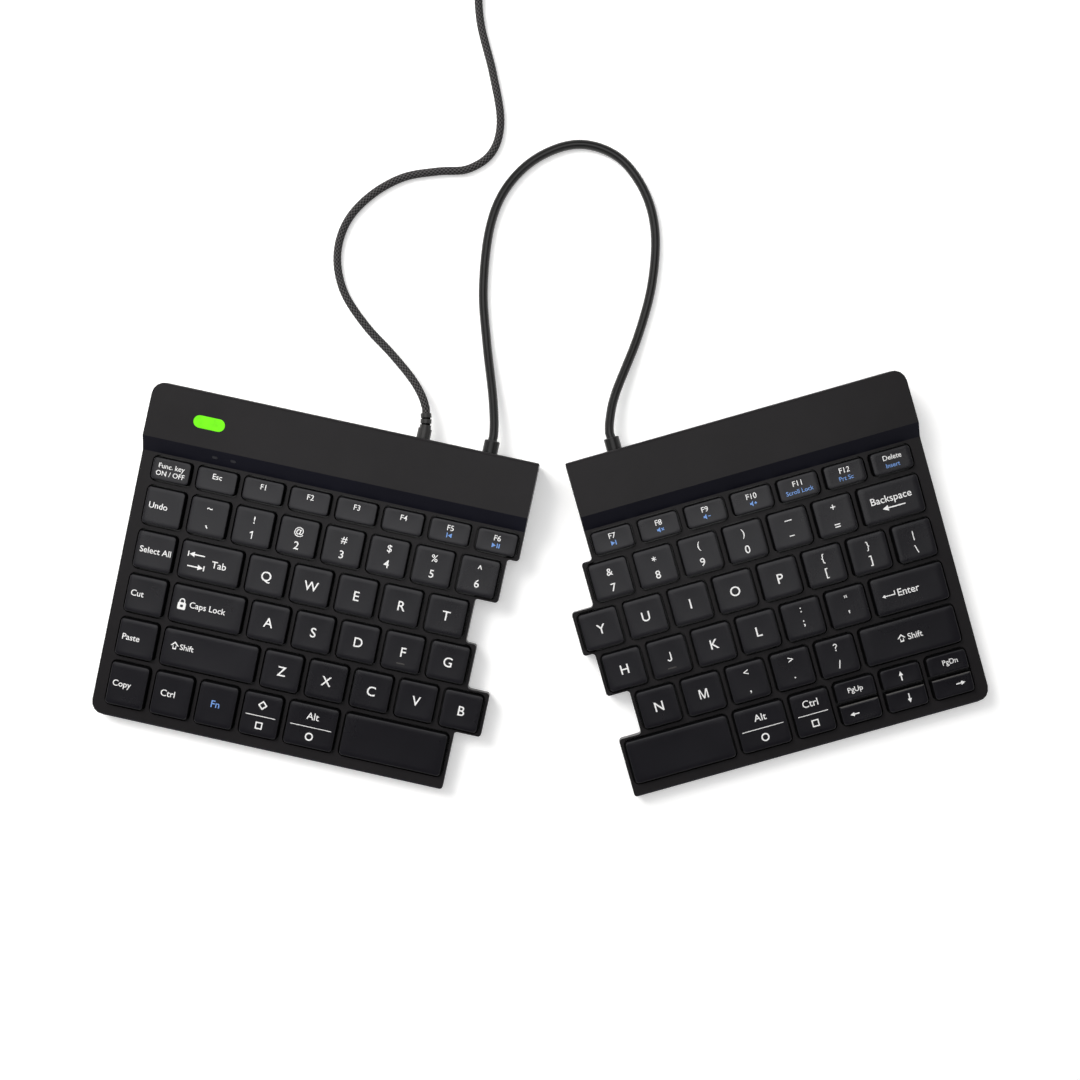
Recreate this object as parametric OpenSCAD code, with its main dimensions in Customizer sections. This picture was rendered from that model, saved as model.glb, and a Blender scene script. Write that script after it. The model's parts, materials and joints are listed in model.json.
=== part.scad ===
// Split keyboard: two separate halves with low scissor keys on a tilted deck and a raised rear bar,
// a link cable between the halves and a lead to the computer. Sizes are in millimetres.
// Each half is drawn from its outer front corner: x runs inward, y to the rear, z up from the table.

/* [Key grid] */
// Width of one key cell along a row
key_pitch = 19; // [18:0.1:20]
// Depth of a full key row
row_pitch = 18.6; // [17.6:0.1:19.6]
// Depth of the function row
fn_row_depth = 12.4; // [11.6:0.1:13.4]
// Depth of the thumb row
thumb_row_depth = 20.9; // [20:0.1:21.9]
// Width of a function key in key cells
fn_key_cells = 1.036; // [1.01:0.002:1.06]
// Width of a space bar in key cells
space_cells = 2.42; // [2.3:0.02:2.5]
// Width of an arrow key in key cells
arrow_cells = 1.03; // [1:0.01:1.06]
// Space between neighbouring caps
key_gap = 2.65; // [2:0.05:3.4]
// Space between the two half-depth caps that share a cell
half_key_gap = 1.2; // [0.8:0.1:2]

/* [Keycaps] */
// Height of a cap from skirt to top
cap_height = 3; // [2.7:0.1:3.4]
// How far a cap stands above the deck at rest
cap_proud = 1.9; // [1.6:0.05:2.3]
// Thickness of the top of a cap
cap_top = 1.1; // [0.8:0.1:1.4]
// Thickness of the skirt of a cap
cap_wall = 1; // [0.8:0.1:1.2]
// Plan radius of the corners of a cap
cap_corner = 2; // [1.2:0.1:2.6]
// Plan radius of the facing corners of two half-depth caps
half_key_corner = 0.4; // [0.2:0.1:1]
// Slant along the top edges of a cap
cap_bevel = 0.45; // [0.2:0.05:0.7]
// Way that a key goes down
key_travel = 1.8; // [1.4:0.1:2]

/* [Key mechanism] */
// Room between a pressed skirt and the membrane
press_room = 0.2; // [0.15:0.05:0.5]
// Thickness of the contact membrane
membrane_thickness = 0.4; // [0.3:0.05:0.6]
// Thickness of the steel key plate
plate_thickness = 0.5; // [0.4:0.05:0.8]
// Diameter of a full-size rubber dome
dome_diameter = 6.4; // [5.6:0.1:7]
// Wall of a rubber dome
dome_wall = 0.5; // [0.3:0.05:0.6]
// Longest reach of a scissor link
scissor_length = 10; // [9:0.1:11]
// Width of the outer scissor link
scissor_width = 11.4; // [11:0.1:12]
// Width of the bars of a scissor link
scissor_bar = 0.9; // [0.7:0.05:1]
// Thickness of a scissor link
scissor_thickness = 0.7; // [0.5:0.05:0.9]
// Room around moving mechanism pieces
mechanism_fit = 0.15; // [0.1:0.05:0.25]

/* [Housing] */
// Tilt of the key deck in degrees
deck_tilt = 2.5; // [1:0.1:4]
// Thickness of the deck around the keys
deck_thickness = 1.5; // [1.2:0.1:1.8]
// Thickness of the side walls
wall = 1.2; // [0.9:0.05:1.8]
// Thickness of the floor
floor_thickness = 1.5; // [1.2:0.1:2]
// Deck beyond the keys at the outer side
side_margin = 4.2; // [3.4:0.1:6]
// Ledge between the stepped inner walls and the key holes
inner_ledge = 0.025; // [0:0.025:1]
// Deck beyond the keys at the front
front_margin = 4; // [3:0.1:6]
// Room around a cap in its hole
hole_clearance = 0.65; // [0.4:0.05:0.9]
// Room between the key plate and the floor at the front
plate_room = 0.5; // [0.4:0.1:1]
// How far the tray walls rise above the floor
tray_wall_height = 0.9; // [0.6:0.1:1.2]
// How far the tray is set back at the seam
seam_step = 0.25; // [0.1:0.05:0.4]
// Radius of the outer corners in plan
outer_corner = 5.5; // [3:0.5:7]
// Radius of the stepped inner corners in plan
step_corner = 1.3; // [0.6:0.1:2]
// Radius of the inner rear corner in plan
bar_corner = 0.6; // [0.4:0.1:1.2]

/* [Rear bar] */
// Height of the bar above the rear of the deck
bar_rise = 4.6; // [3.6:0.1:6]
// Depth of the slope between deck and bar
bar_slope_run = 5.8; // [4.6:0.1:7]
// Depth of the flat top of the bar
bar_depth = 23; // [21.5:0.5:28]
// Thickness of the top of the bar
bar_ceiling = 1.8; // [1.4:0.1:2.2]
// Radius along the rear top edge
bar_edge = 1.6; // [0.8:0.1:2.4]

/* [Feet and screws] */
// Height of the table face of the tray
foot_height = 1.2; // [0.8:0.1:2]
// Radius of a rubber foot
foot_radius = 5; // [4:0.25:6]
// Depth of the seat of a foot in the floor
foot_seat = 0.5; // [0.3:0.1:0.7]
// Distance of the end feet from the side edges
foot_side_inset = 22; // [20:0.5:26]
// Distance of the feet from the front and rear edges
foot_end_inset = 12; // [10:0.5:14]
// Radius of a screw shaft
screw_radius = 1; // [0.8:0.05:1.2]
// Radius of a screw head
screw_head_radius = 1.9; // [1.7:0.05:2.2]
// Height of a screw head
screw_head_height = 1.2; // [1:0.1:1.4]
// Length of a screw shaft
screw_length = 8; // [6:0.5:9]
// Distance of the end screws from the ends of the bar
screw_end_inset = 9; // [8:0.5:10]
// Distance of the middle screw from the middle foot
screw_foot_space = 18.7; // [16:0.1:22]
// Distance of the screws from the rear edge
screw_rear_inset = 11.5; // [10:0.5:13]
// Radius of a screw boss
boss_radius = 2.6; // [2.4:0.1:3]

/* [Electronics] */
// Thickness of a circuit board
board_thickness = 1.2; // [0.8:0.1:1.6]
// Depth of a circuit board
board_depth = 14; // [12:0.5:14.5]
// Length of the controller board
controller_length = 74; // [68:1:76]
// Length of the link board
link_board_length = 40; // [30:1:46]
// Distance of a board from the outer edge
board_inset = 16; // [15:0.5:18]
// Distance of a board from the rear edge
board_rear_inset = 4; // [3.5:0.5:5]
// Width of the membrane tail
tail_width = 14; // [10:0.5:18]
// Length of the indicator light
indicator_length = 13; // [10:0.5:15]
// Width of the indicator light
indicator_width = 5; // [3:0.25:6]
// Distance of the indicator from the outer edge
indicator_inset = 25.8; // [22:0.1:32]
// Distance of the indicator from the rear edge
indicator_rear_inset = 12.75; // [11:0.25:14]
// Distance of the first status light from the outer edge
status_inset = 30.5; // [28:0.5:34]
// Distance between the two status lights
status_pitch = 7.7; // [6:0.1:10]
// Length of a status light
status_length = 2.2; // [1.6:0.1:3]
// Width of a status light
status_width = 1.2; // [0.8:0.1:1.4]

/* [Cables] */
// Height of the cable exits above the seam
exit_rise = 4.4; // [4:0.1:5.4]
// Distance of the link exits from the inner ends of the bars
link_exit_inset = 21.3; // [18:0.1:24]
// Distance of the lead exit from the inner end of the left bar
lead_exit_inset = 49.6; // [46:0.1:54]
// Diameter of the link cable
link_diameter = 3.8; // [3.4:0.1:4.2]
// Diameter of the lead to the computer
lead_diameter = 3.3; // [2.6:0.1:3.6]
// Length of a link collar outside the bar
collar_length = 5.4; // [4:0.2:7]
// Diameter of a link collar
collar_diameter = 6.4; // [5.6:0.1:7]
// Length of the strain relief outside the bar
relief_length = 10.7; // [9:0.1:12]
// Bend of the strain relief toward the lead in degrees
relief_bend = 15; // [0:1:24]
// Diameter of the strain relief at the bar
relief_diameter = 5.7; // [5.2:0.1:6.2]
// Mean diameter of the stored coil
coil_diameter = 38; // [34:0.5:40]
// Space between neighbouring turns of the coil
coil_space = 0.6; // [0.5:0.05:1]
// Thickness of the coil tie
tie_thickness = 0.6; // [0.4:0.05:0.8]
// Width of the coil tie
tie_width = 8; // [6:0.5:9]
// Width of the metal shell of the plug
shell_width = 12; // [11.5:0.1:12.5]
// Height of the metal shell of the plug
shell_height = 4.5; // [4.2:0.1:4.8]
// Length of the metal shell outside the grip
shell_length = 18.5; // [17:0.25:20]
// Length of the plug grip
grip_length = 24; // [20:0.5:30]
// Width of the plug grip
grip_width = 15.5; // [14.5:0.25:17]
// Height of the plug grip
grip_height = 8; // [7.5:0.25:9]

/* [Placement] */
// Turn of the left half in degrees
left_turn = 12.3; // [0:0.1:20]
// Turn of the right half in degrees
right_turn = 15.8; // [0:0.1:20]
// Space between the inner rear corners of the halves
corner_space = 10.4; // [6:0.2:30]

/* [Hidden] */
$fn = 48;

// Colours
case_color = "#2d2d2f";
tray_color = "#262628";
cap_color = "#1d1d20";
rubber_color = "#3a3a3a";
steel_color = "#a8acb0";
board_color = "#1f6b43";
film_color = "#26282a";
link_color = "#242426";
lens_color = "#c9d3d6";
lamp_color = "#7dff00";
cord_color = "#17171a";

// Sides and rows, counted from the front
LEFT = 0;
RIGHT = 1;
SIDES = [LEFT, RIGHT];
THUMB = 0;
LOWER = 1;
HOME = 2;
UPPER = 3;
NUMBER = 4;
FUNCTION = 5;

// Key widths in cells, from the outer edge inward
CELLS = [
    [
        [1, 1, 1, 1, 1.25, space_cells],
        [1, 2.25, 1, 1, 1, 1, 1],
        [1, 1.75, 1, 1, 1, 1, 1],
        [1, 1.5, 1, 1, 1, 1, 1],
        [for (k = [0:7]) 1],
        [1, for (k = [0:6]) fn_key_cells]
    ],
    [
        [arrow_cells, arrow_cells, arrow_cells, 1, 1.25, space_cells],
        [2.25, 1, 1, 1, 1, 1],
        [1.75, 1, 1, 1, 1, 1, 1],
        [for (k = [0:7]) 1],
        [1.5, 1, 1, 1, 1, 1, 1],
        [for (k = [0:6]) fn_key_cells]
    ]
];
// The thumb-row cells of the right half that hold two half-depth caps
pair_cells = 3;

// Cuts and embedded joints reach this far past a face
overlap = 0.5;
// Room between pieces that are slid together by hand
fit = 0.1;
// Room under the pieces that rest on a rib or a stop
seat_room = 0.05;
// Facets of a quarter circle in a drawn outline
quarter_steps = 4;
// Least radius of a corner that is set inward
inset_corner = 0.4;

// Heights in the tilted deck, measured down from its top face
skirt_drop = cap_height - cap_proud;
membrane_drop = skirt_drop + key_travel + press_room;
plate_drop = membrane_drop + membrane_thickness;
stack_drop = plate_drop + plate_thickness;
cap_under = cap_proud - cap_top;

// Heights above the table
floor_top = foot_height + floor_thickness;
seam_height = floor_top + tray_wall_height;
exit_height = seam_height + exit_rise;
front_height = floor_top + plate_room + stack_drop / cos(deck_tilt);

// Depths in plan, from the front edge
deck_depth = front_margin + thumb_row_depth + 4 * row_pitch + fn_row_depth;
bar_front = deck_depth + bar_slope_run;
body_depth = bar_front + bar_depth;
deck_rear_height = deck_level(deck_depth, 0);
bar_top = deck_rear_height + bar_rise;
slope_angle = atan2(bar_rise, bar_slope_run);

function sum(list, n) = n <= 0 ? 0 : list[n - 1] + sum(list, n - 1);
function unit(v) = v / norm(v);
function left_of(v) = [-v.y, v.x];
function turned(p, a) = [p.x * cos(a) - p.y * sin(a), p.x * sin(a) + p.y * cos(a)];
function flat(lists) = [for (list = lists) each list];
function total(points) = [for (p = points) 1] * points;

// Height at depth y of a face that lies a given drop below the deck
function deck_level(y, drop) = front_height + y * tan(deck_tilt) - drop / cos(deck_tilt);

function row_front(r) = front_margin + (r == THUMB ? 0 : thumb_row_depth + (r - 1) * row_pitch);
function row_depth(r) = r == THUMB ? thumb_row_depth : r == FUNCTION ? fn_row_depth : row_pitch;
function row_middle(r) = row_front(r) + row_depth(r) / 2;
function cells(side, r) = CELLS[side][r];
function cell_width(side, r, k) = cells(side, r)[k] * key_pitch;
function cell_middle(side, r, k) =
    side_margin + sum(cells(side, r), k) * key_pitch + cell_width(side, r, k) / 2;
function cells_end(side, r) = side_margin + sum(cells(side, r), len(cells(side, r))) * key_pitch;
function row_edge(side, r) = cells_end(side, r) - key_gap / 2 + hole_clearance + inner_ledge + wall;
function bar_edge_x(side) = row_edge(side, FUNCTION);
function widest(side) = max([for (r = [THUMB:FUNCTION]) row_edge(side, r)]);
function narrowest(side) = min([for (r = [THUMB:FUNCTION]) row_edge(side, r)]);
function is_pair(side, r, k) = side == RIGHT && r == THUMB && k < pair_cells;
function cap_size(side, r, k) = [cell_width(side, r, k) - key_gap, row_depth(r) - key_gap];
function half_cap_depth(full) = (full - half_key_gap) / 2;

// Each key as [x, y, width, depth, front corner, rear corner] on the deck, the upper of a pair first
function keys_of(side, r, k) =
    let (size = cap_size(side, r, k))
    let (x = cell_middle(side, r, k))
    let (y = row_middle(r))
    let (half = half_cap_depth(size.y))
    let (shift = (half + half_key_gap) / 2)
    is_pair(side, r, k)
        ? [[x, y + shift, size.x, half, half_key_corner, cap_corner],
           [x, y - shift, size.x, half, cap_corner, half_key_corner]]
        : [[x, y, size.x, size.y, cap_corner, cap_corner]];
function row_keys(side, r) = flat([for (k = [0:len(cells(side, r)) - 1]) keys_of(side, r, k)]);
function all_keys(side) = flat([for (r = [THUMB:FUNCTION]) row_keys(side, r)]);

// A quarter turn at corner p between neighbours a and b, for paths of right angles
function quarter(a, p, b, radius) =
    let (r = min(radius, norm(a - p) / 2, norm(b - p) / 2))
    let (u = unit(a - p))
    let (v = unit(b - p))
    let (c = p + r * (u + v))
    r <= 0 ? [p] : [for (k = [0:quarter_steps])
        c - r * (v * cos(90 * k / quarter_steps) + u * sin(90 * k / quarter_steps))];
function before(path, i) = path[(i + len(path) - 1) % len(path)];
function after(path, i) = path[(i + 1) % len(path)];
function rounded(path, radii) = flat([for (i = [0:len(path) - 1])
    quarter(before(path, i), path[i], after(path, i), radii[i])]);
function inset_path(path, d) = [for (i = [0:len(path) - 1])
    path[i] + d * (left_of(unit(path[i] - before(path, i))) + left_of(unit(after(path, i) - path[i])))];
function turn_sign(path, i) =
    sign(cross(path[i] - before(path, i), after(path, i) - path[i]));
function rect_path(w, d) = [[-w / 2, -d / 2], [w / 2, -d / 2], [w / 2, d / 2], [-w / 2, d / 2]];
function round_rect(w, d, r) = rounded(rect_path(w, d), [r, r, r, r]);

// Plan of a half: straight outer side, stepped inner side that follows the rows
function sharp_plan(side, rear) = concat(
    [[0, 0], [row_edge(side, THUMB), 0]],
    flat([for (r = [THUMB:NUMBER]) [
        [row_edge(side, r), row_front(r + 1)],
        [row_edge(side, r + 1), row_front(r + 1)]
    ]]),
    [[bar_edge_x(side), rear], [0, rear]]
);
function plan_radius(path, i, inset) =
    let (outer = i == 0 || i == len(path) - 1)
    let (plain = outer ? outer_corner : i == len(path) - 2 ? bar_corner : step_corner)
    max(inset_corner, plain - inset * turn_sign(path, i));
function plan(side, inset, rear) =
    let (path = sharp_plan(side, rear))
    rounded(inset_path(path, inset), [for (i = [0:len(path) - 1]) plan_radius(path, i, inset)]);

// Places of the halves: inner rear corners apart, then the whole plan centred on the origin
function inner_rear(side) = [bar_edge_x(side), body_depth];
function side_turn(side) = side == LEFT ? -left_turn : right_turn;
function mirrored(side, p) = side == LEFT ? p : [-p.x, p.y];
function before_shift(side, p) =
    turned(mirrored(side, p) - mirrored(side, inner_rear(side)), side_turn(side))
    + [(side == LEFT ? -1 : 1) * corner_space / 2, 0];
plan_points = flat([for (side = SIDES) [for (p = plan(side, 0, body_depth)) before_shift(side, p)]]);
plan_min = [min([for (p = plan_points) p.x]), min([for (p = plan_points) p.y])];
plan_max = [max([for (p = plan_points) p.x]), max([for (p = plan_points) p.y])];
function world(side, p) = before_shift(side, p) - (plan_min + plan_max) / 2;
function world_at(side, p, z) = [world(side, p).x, world(side, p).y, z];

module half(side) {
    place = world(side, [0, 0]);
    translate([place.x, place.y, 0])
        rotate(side_turn(side))
            mirror([side == LEFT ? 0 : 1, 0, 0])
                children();
}

module on_deck() {
    translate([0, 0, front_height])
        rotate([deck_tilt, 0, 0])
            children();
}

// A profile drawn as [y, z] and run along x
module run_across(side, profile) {
    translate([-overlap, 0, 0])
        rotate([90, 0, 90])
            linear_extrude(widest(side) + 2 * overlap)
                polygon(profile);
}

module plan_prism(side, inset, z_low, z_high) {
    translate([0, 0, z_low])
        linear_extrude(z_high - z_low)
            polygon(plan(side, inset, body_depth));
}

// Housing
front_bevel = 0.8;
edge_steps = 6;
outer_profile = concat(
    [
        [-overlap, 0],
        [body_depth + overlap, 0],
        [body_depth + overlap, bar_top - bar_edge]
    ],
    [for (k = [0:edge_steps])
        [body_depth - bar_edge + bar_edge * cos(90 * k / edge_steps),
         bar_top - bar_edge + bar_edge * sin(90 * k / edge_steps)]],
    [
        [bar_front, bar_top],
        [deck_depth, deck_rear_height],
        [front_bevel, deck_level(front_bevel, 0)],
        [0, front_height - front_bevel],
        [-overlap, front_height - front_bevel]
    ]
);
// The slope keeps the thickness of the deck, measured square to its face
slope_drop = deck_thickness / cos(slope_angle);
slope_foot = deck_depth
    + (slope_drop - deck_thickness / cos(deck_tilt)) / (tan(slope_angle) - tan(deck_tilt));
slope_head = deck_depth + (bar_rise - bar_ceiling + slope_drop) / tan(slope_angle);
inner_profile = [
    [-overlap, 0],
    [body_depth, 0],
    [body_depth, bar_top - bar_ceiling],
    [slope_head, bar_top - bar_ceiling],
    [slope_foot, deck_level(slope_foot, deck_thickness)],
    [-overlap, deck_level(-overlap, deck_thickness)]
];

module key_holes(side) {
    for (r = [THUMB:FUNCTION])
        for (k = [0:len(cells(side, r)) - 1]) {
            size = cap_size(side, r, k) + 2 * [hole_clearance, hole_clearance];
            translate([cell_middle(side, r, k), row_middle(r), -deck_thickness - overlap])
                linear_extrude(deck_thickness + cap_proud)
                    polygon(round_rect(size.x, size.y, cap_corner + hole_clearance));
        }
}

// Screws hold the tray to bosses under the bar
head_room = 0.2;
head_depth = screw_head_height + head_room;
screw_seat = foot_height + head_depth;
pad_height = 1.6;
boss_foot = screw_seat + pad_height;
pilot_room = 0.02;
shaft_room = 0.15;
function screw_spots(side) = [for (x = [screw_end_inset,
        bar_edge_x(side) / 2 + screw_foot_space, bar_edge_x(side) - screw_end_inset])
    [x, body_depth - screw_rear_inset]];

module screw_bosses(side) {
    for (spot = screw_spots(side))
        translate([spot.x, spot.y, boss_foot])
            difference() {
                cylinder(r = boss_radius, h = bar_top - bar_ceiling + overlap - boss_foot);
                translate([0, 0, -overlap])
                    cylinder(r = screw_radius + pilot_room, h = screw_length + overlap);
            }
}

module exit_hole(side, inset) {
    translate([bar_edge_x(side) - inset, body_depth - wall - overlap, exit_height])
        rotate([-90, 0, 0])
            cylinder(r = neck_radius + fit, h = wall + 2 * overlap);
}

module top_shell(side) {
    difference() {
        intersection() {
            plan_prism(side, 0, seam_height, bar_top + overlap);
            run_across(side, outer_profile);
        }
        intersection() {
            plan_prism(side, wall, seam_height - overlap, bar_top);
            run_across(side, inner_profile);
        }
        on_deck()
            key_holes(side);
        exit_hole(side, link_exit_inset);
        if (side == LEFT) {
            exit_hole(side, lead_exit_inset);
            at_indicator()
                lens_window(indicator_length, indicator_width, bar_ceiling);
            for (n = [0, 1])
                at_status(n)
                    lens_window(status_length, status_width, deck_thickness);
        }
    }
    screw_bosses(side);
}

// Ribs on the floor carry the tilted key plate
rib_width = 1.6;
rib_front = 6;
rib_count = 3;
rib_profile = [
    [rib_front, floor_top - overlap],
    [deck_depth, floor_top - overlap],
    [deck_depth, deck_level(deck_depth, stack_drop) - seat_room],
    [rib_front, deck_level(rib_front, stack_drop) - seat_room]
];
module plate_ribs(side) {
    for (n = [1:rib_count])
        translate([n * narrowest(side) / (rib_count + 1) - rib_width / 2, 0, 0])
            rotate([90, 0, 90])
                linear_extrude(rib_width)
                    polygon(rib_profile);
}

function foot_spots(side) = [for (end = [THUMB, FUNCTION])
    for (x = [foot_side_inset, row_edge(side, end) / 2, row_edge(side, end) - foot_side_inset])
        [x, end == THUMB ? foot_end_inset : body_depth - foot_end_inset]];

// A board stands on two posts behind the deck
post_radius = 2;
post_inset = 5;
function board_length(side) = side == LEFT ? controller_length : link_board_length;
board_rear = body_depth - wall - board_rear_inset;
board_front = board_rear - board_depth;
board_top = deck_level(board_front, plate_drop) - mechanism_fit;
board_under = board_top - board_thickness;
module board_posts(side) {
    for (x = [board_inset + post_inset, board_inset + board_length(side) - post_inset])
        translate([x, (board_front + board_rear) / 2, floor_top - overlap])
            cylinder(r = post_radius, h = board_under - floor_top + overlap);
}

module tray(side) {
    difference() {
        union() {
            difference() {
                plan_prism(side, seam_step, foot_height, seam_height);
                plan_prism(side, seam_step + wall, floor_top, seam_height + overlap);
            }
            plate_ribs(side);
            board_posts(side);
            for (spot = screw_spots(side))
                translate([spot.x, spot.y, floor_top - overlap])
                    cylinder(r = boss_radius, h = boss_foot - floor_top + overlap);
        }
        for (spot = foot_spots(side))
            translate([spot.x, spot.y, foot_height - overlap])
                cylinder(r = foot_radius + fit, h = foot_seat + overlap);
        for (spot = screw_spots(side))
            translate([spot.x, spot.y, foot_height - overlap]) {
                cylinder(r = screw_head_radius + fit, h = head_depth + overlap);
                cylinder(r = screw_radius + shaft_room, h = boss_foot - foot_height + 2 * overlap);
            }
    }
}

module feet(side) {
    for (spot = foot_spots(side))
        translate([spot.x, spot.y, 0])
            cylinder(r = foot_radius, h = foot_height + foot_seat);
}

drive_depth = 0.7;
drive_width = 0.5;
module screws(side) {
    for (spot = screw_spots(side))
        translate([spot.x, spot.y, screw_seat])
            difference() {
                union() {
                    translate([0, 0, -screw_head_height])
                        cylinder(r = screw_head_radius, h = screw_head_height);
                    cylinder(r = screw_radius, h = screw_length);
                }
                for (turn = [0, 90])
                    rotate(turn)
                        translate([-screw_radius, -drive_width / 2, -screw_head_height - overlap])
                            cube([2 * screw_radius, drive_width, drive_depth + overlap]);
            }
}

// Layers under the keys
layer_room = 0.4;
layer_inset = wall + layer_room;
layer_overhang = 2;
layer_rear = deck_depth + layer_overhang;
module layer(side, drop, thickness) {
    on_deck()
        translate([0, 0, -drop - thickness])
            linear_extrude(thickness)
                polygon(plan(side, layer_inset, layer_rear));
}

connector_depth = 3;
connector_height = 1.6;
connector_setback = 3;
tail_space = 3.2;
tail_side = indicator_inset + tail_space;
module membrane(side) {
    layer(side, membrane_drop, membrane_thickness);
    tail_start = layer_rear - layer_inset - overlap;
    tail_end = (board_front + connector_setback - fit) / cos(deck_tilt) - membrane_thickness;
    on_deck()
        translate([tail_side, tail_start, -plate_drop])
            cube([tail_width, tail_end - tail_start, membrane_thickness]);
}

// A rubber dome under each key, hollow below
dome_height = cap_under + membrane_drop - fit;
dome_crown = 1;
dome_flange = 0.3;
function link_reach(depth) = min(scissor_length, depth - 2 * cap_wall - 4 * mechanism_fit);
function link_rise() = cap_under + membrane_drop - 2 * mechanism_fit - scissor_thickness;
function link_angle(depth) = asin(link_rise() / link_reach(depth));
function dome_size(depth) = min(dome_diameter,
    (link_reach(depth) - 2 * scissor_bar) * cos(link_angle(depth)) - 4 * mechanism_fit);
module dome(size) {
    foot = size / 2;
    crown = size / 4;
    rotate_extrude()
        polygon([
            [foot - dome_wall, 0],
            [foot, 0],
            [foot, dome_flange],
            [crown, dome_height - dome_crown / 2],
            [crown, dome_height],
            [0, dome_height],
            [0, dome_height - dome_crown],
            [crown - dome_wall / 2, dome_height - dome_crown]
        ]);
}
module domes(side) {
    on_deck()
        for (key = all_keys(side))
            translate([key[0], key[1], -membrane_drop])
                dome(dome_size(key[3]));
}

// Two crossed links guide each key
inner_link_width = scissor_width - 2 * scissor_bar - 4 * mechanism_fit;
module link_frame(width, reach) {
    difference() {
        cube([width, reach, scissor_thickness], center = true);
        cube([width - 2 * scissor_bar, reach - 2 * scissor_bar, 2 * scissor_thickness], center = true);
    }
}
module scissors(side) {
    on_deck()
        for (key = all_keys(side))
            translate([key[0], key[1], (cap_under - membrane_drop) / 2]) {
                rotate([link_angle(key[3]), 0, 0])
                    link_frame(scissor_width, link_reach(key[3]));
                rotate([-link_angle(key[3]), 0, 0])
                    link_frame(inner_link_width, link_reach(key[3]));
            }
}

// Keycaps, drawn from the middle of the skirt's lower face
function bevel_profile(w, top) = [
    [-w / 2 - overlap, -overlap],
    [w / 2 + overlap, -overlap],
    [w / 2 + overlap, cap_height - cap_bevel - overlap],
    [w / 2 - cap_bevel - top, cap_height + top],
    [-w / 2 + cap_bevel + top, cap_height + top],
    [-w / 2 - overlap, cap_height - cap_bevel - overlap]
];
module keycap(w, d, front, rear) {
    difference() {
        intersection() {
            linear_extrude(cap_height + overlap)
                polygon(rounded(rect_path(w, d), [front, front, rear, rear]));
            rotate([90, 0, 0])
                linear_extrude(d + 2 * overlap, center = true)
                    polygon(bevel_profile(w, 0));
            rotate([90, 0, 90])
                linear_extrude(w + 2 * overlap, center = true)
                    polygon(bevel_profile(d, overlap / 2));
        }
        translate([0, 0, (cap_height - cap_top - overlap) / 2])
            cube([w - 2 * cap_wall, d - 2 * cap_wall, cap_height - cap_top + overlap], center = true);
    }
}
module place_caps(side, keys) {
    color(cap_color)
        half(side)
            on_deck()
                for (key = keys)
                    translate([key[0], key[1], -skirt_drop])
                        keycap(key[2], key[3], key[4], key[5]);
}
module caps(side, r, first, last) {
    place_caps(side, flat([for (k = [first:last]) keys_of(side, r, k)]));
}
module half_cap(k, n) {
    place_caps(RIGHT, [keys_of(RIGHT, THUMB, k)[n]]);
}

// Lights
module pill(length, width, z_low, z_high) {
    translate([0, 0, z_low])
        linear_extrude(z_high - z_low) {
            square([length - width, width], center = true);
            for (end = [-1, 1])
                translate([end * (length - width) / 2, 0])
                    circle(d = width);
        }
}
module at_indicator() {
    translate([indicator_inset, body_depth - indicator_rear_inset, bar_top])
        children();
}
module at_status(n) {
    slope_middle = [(deck_depth + bar_front) / 2, (deck_rear_height + bar_top) / 2];
    translate([status_inset + n * status_pitch, slope_middle[0], slope_middle[1]])
        rotate([slope_angle, 0, 0])
            children();
}
module lens_window(length, width, thickness) {
    pill(length + 2 * fit, width + 2 * fit, -thickness - overlap, overlap);
}
lens_proud = 0.1;
lens_flange = 0.8;
module lens(length, width, thickness) {
    pill(length, width, -thickness - lens_flange, lens_proud);
    pill(length + 2 * lens_flange, width + 2 * lens_flange, -thickness - lens_flange, -thickness);
}

// Boards with their larger components
led_height = 0.9;
chip_size = 7;
chip_height = 0.9;
module board(side) {
    length = board_length(side);
    translate([board_inset, board_front, board_under])
        cube([length, board_depth, board_thickness]);
    translate([tail_side, board_front + connector_setback, board_top - overlap])
        cube([tail_width, connector_depth, connector_height + overlap]);
}
led_size = 3;
module controller_parts() {
    chip_x = board_inset + controller_length - 3 * chip_size;
    translate([chip_x, board_rear - chip_size - post_radius, board_top - overlap])
        cube([chip_size, chip_size, chip_height + overlap]);
    translate([indicator_inset - led_size / 2, body_depth - indicator_rear_inset - led_size / 2,
            board_top - overlap])
        cube([led_size, led_size, led_height + overlap]);
}
guide_radius = 1.6;
module light_guide() {
    guide_top = bar_top - bar_ceiling - lens_flange / 2;
    guide_foot = board_top + led_height + seat_room;
    translate([indicator_inset, body_depth - indicator_rear_inset, guide_foot])
        cylinder(r = guide_radius, h = guide_top - guide_foot);
}

// Cable exits, drawn along z out of the rear wall
neck_radius = 2.5;
stop_radius = 3.6;
stop_thickness = 1.5;
module at_exit(side, inset) {
    half(side)
        translate([bar_edge_x(side) - inset, body_depth, exit_height])
            rotate([-90, 0, 0])
                children();
}
function exit_root() = [
    [0, -wall - stop_thickness - seat_room],
    [stop_radius, -wall - stop_thickness - seat_room],
    [stop_radius, -wall - seat_room],
    [neck_radius, -wall - seat_room],
    [neck_radius, seat_room]
];
collar_bevel = 0.3;
module link_relief(side) {
    color(rubber_color)
        at_exit(side, link_exit_inset)
            rotate_extrude()
                polygon(concat(exit_root(), [
                    [collar_diameter / 2, seat_room],
                    [collar_diameter / 2, collar_length - collar_bevel],
                    [collar_diameter / 2 - collar_bevel, collar_length],
                    [0, collar_length]
                ]));
}

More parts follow.
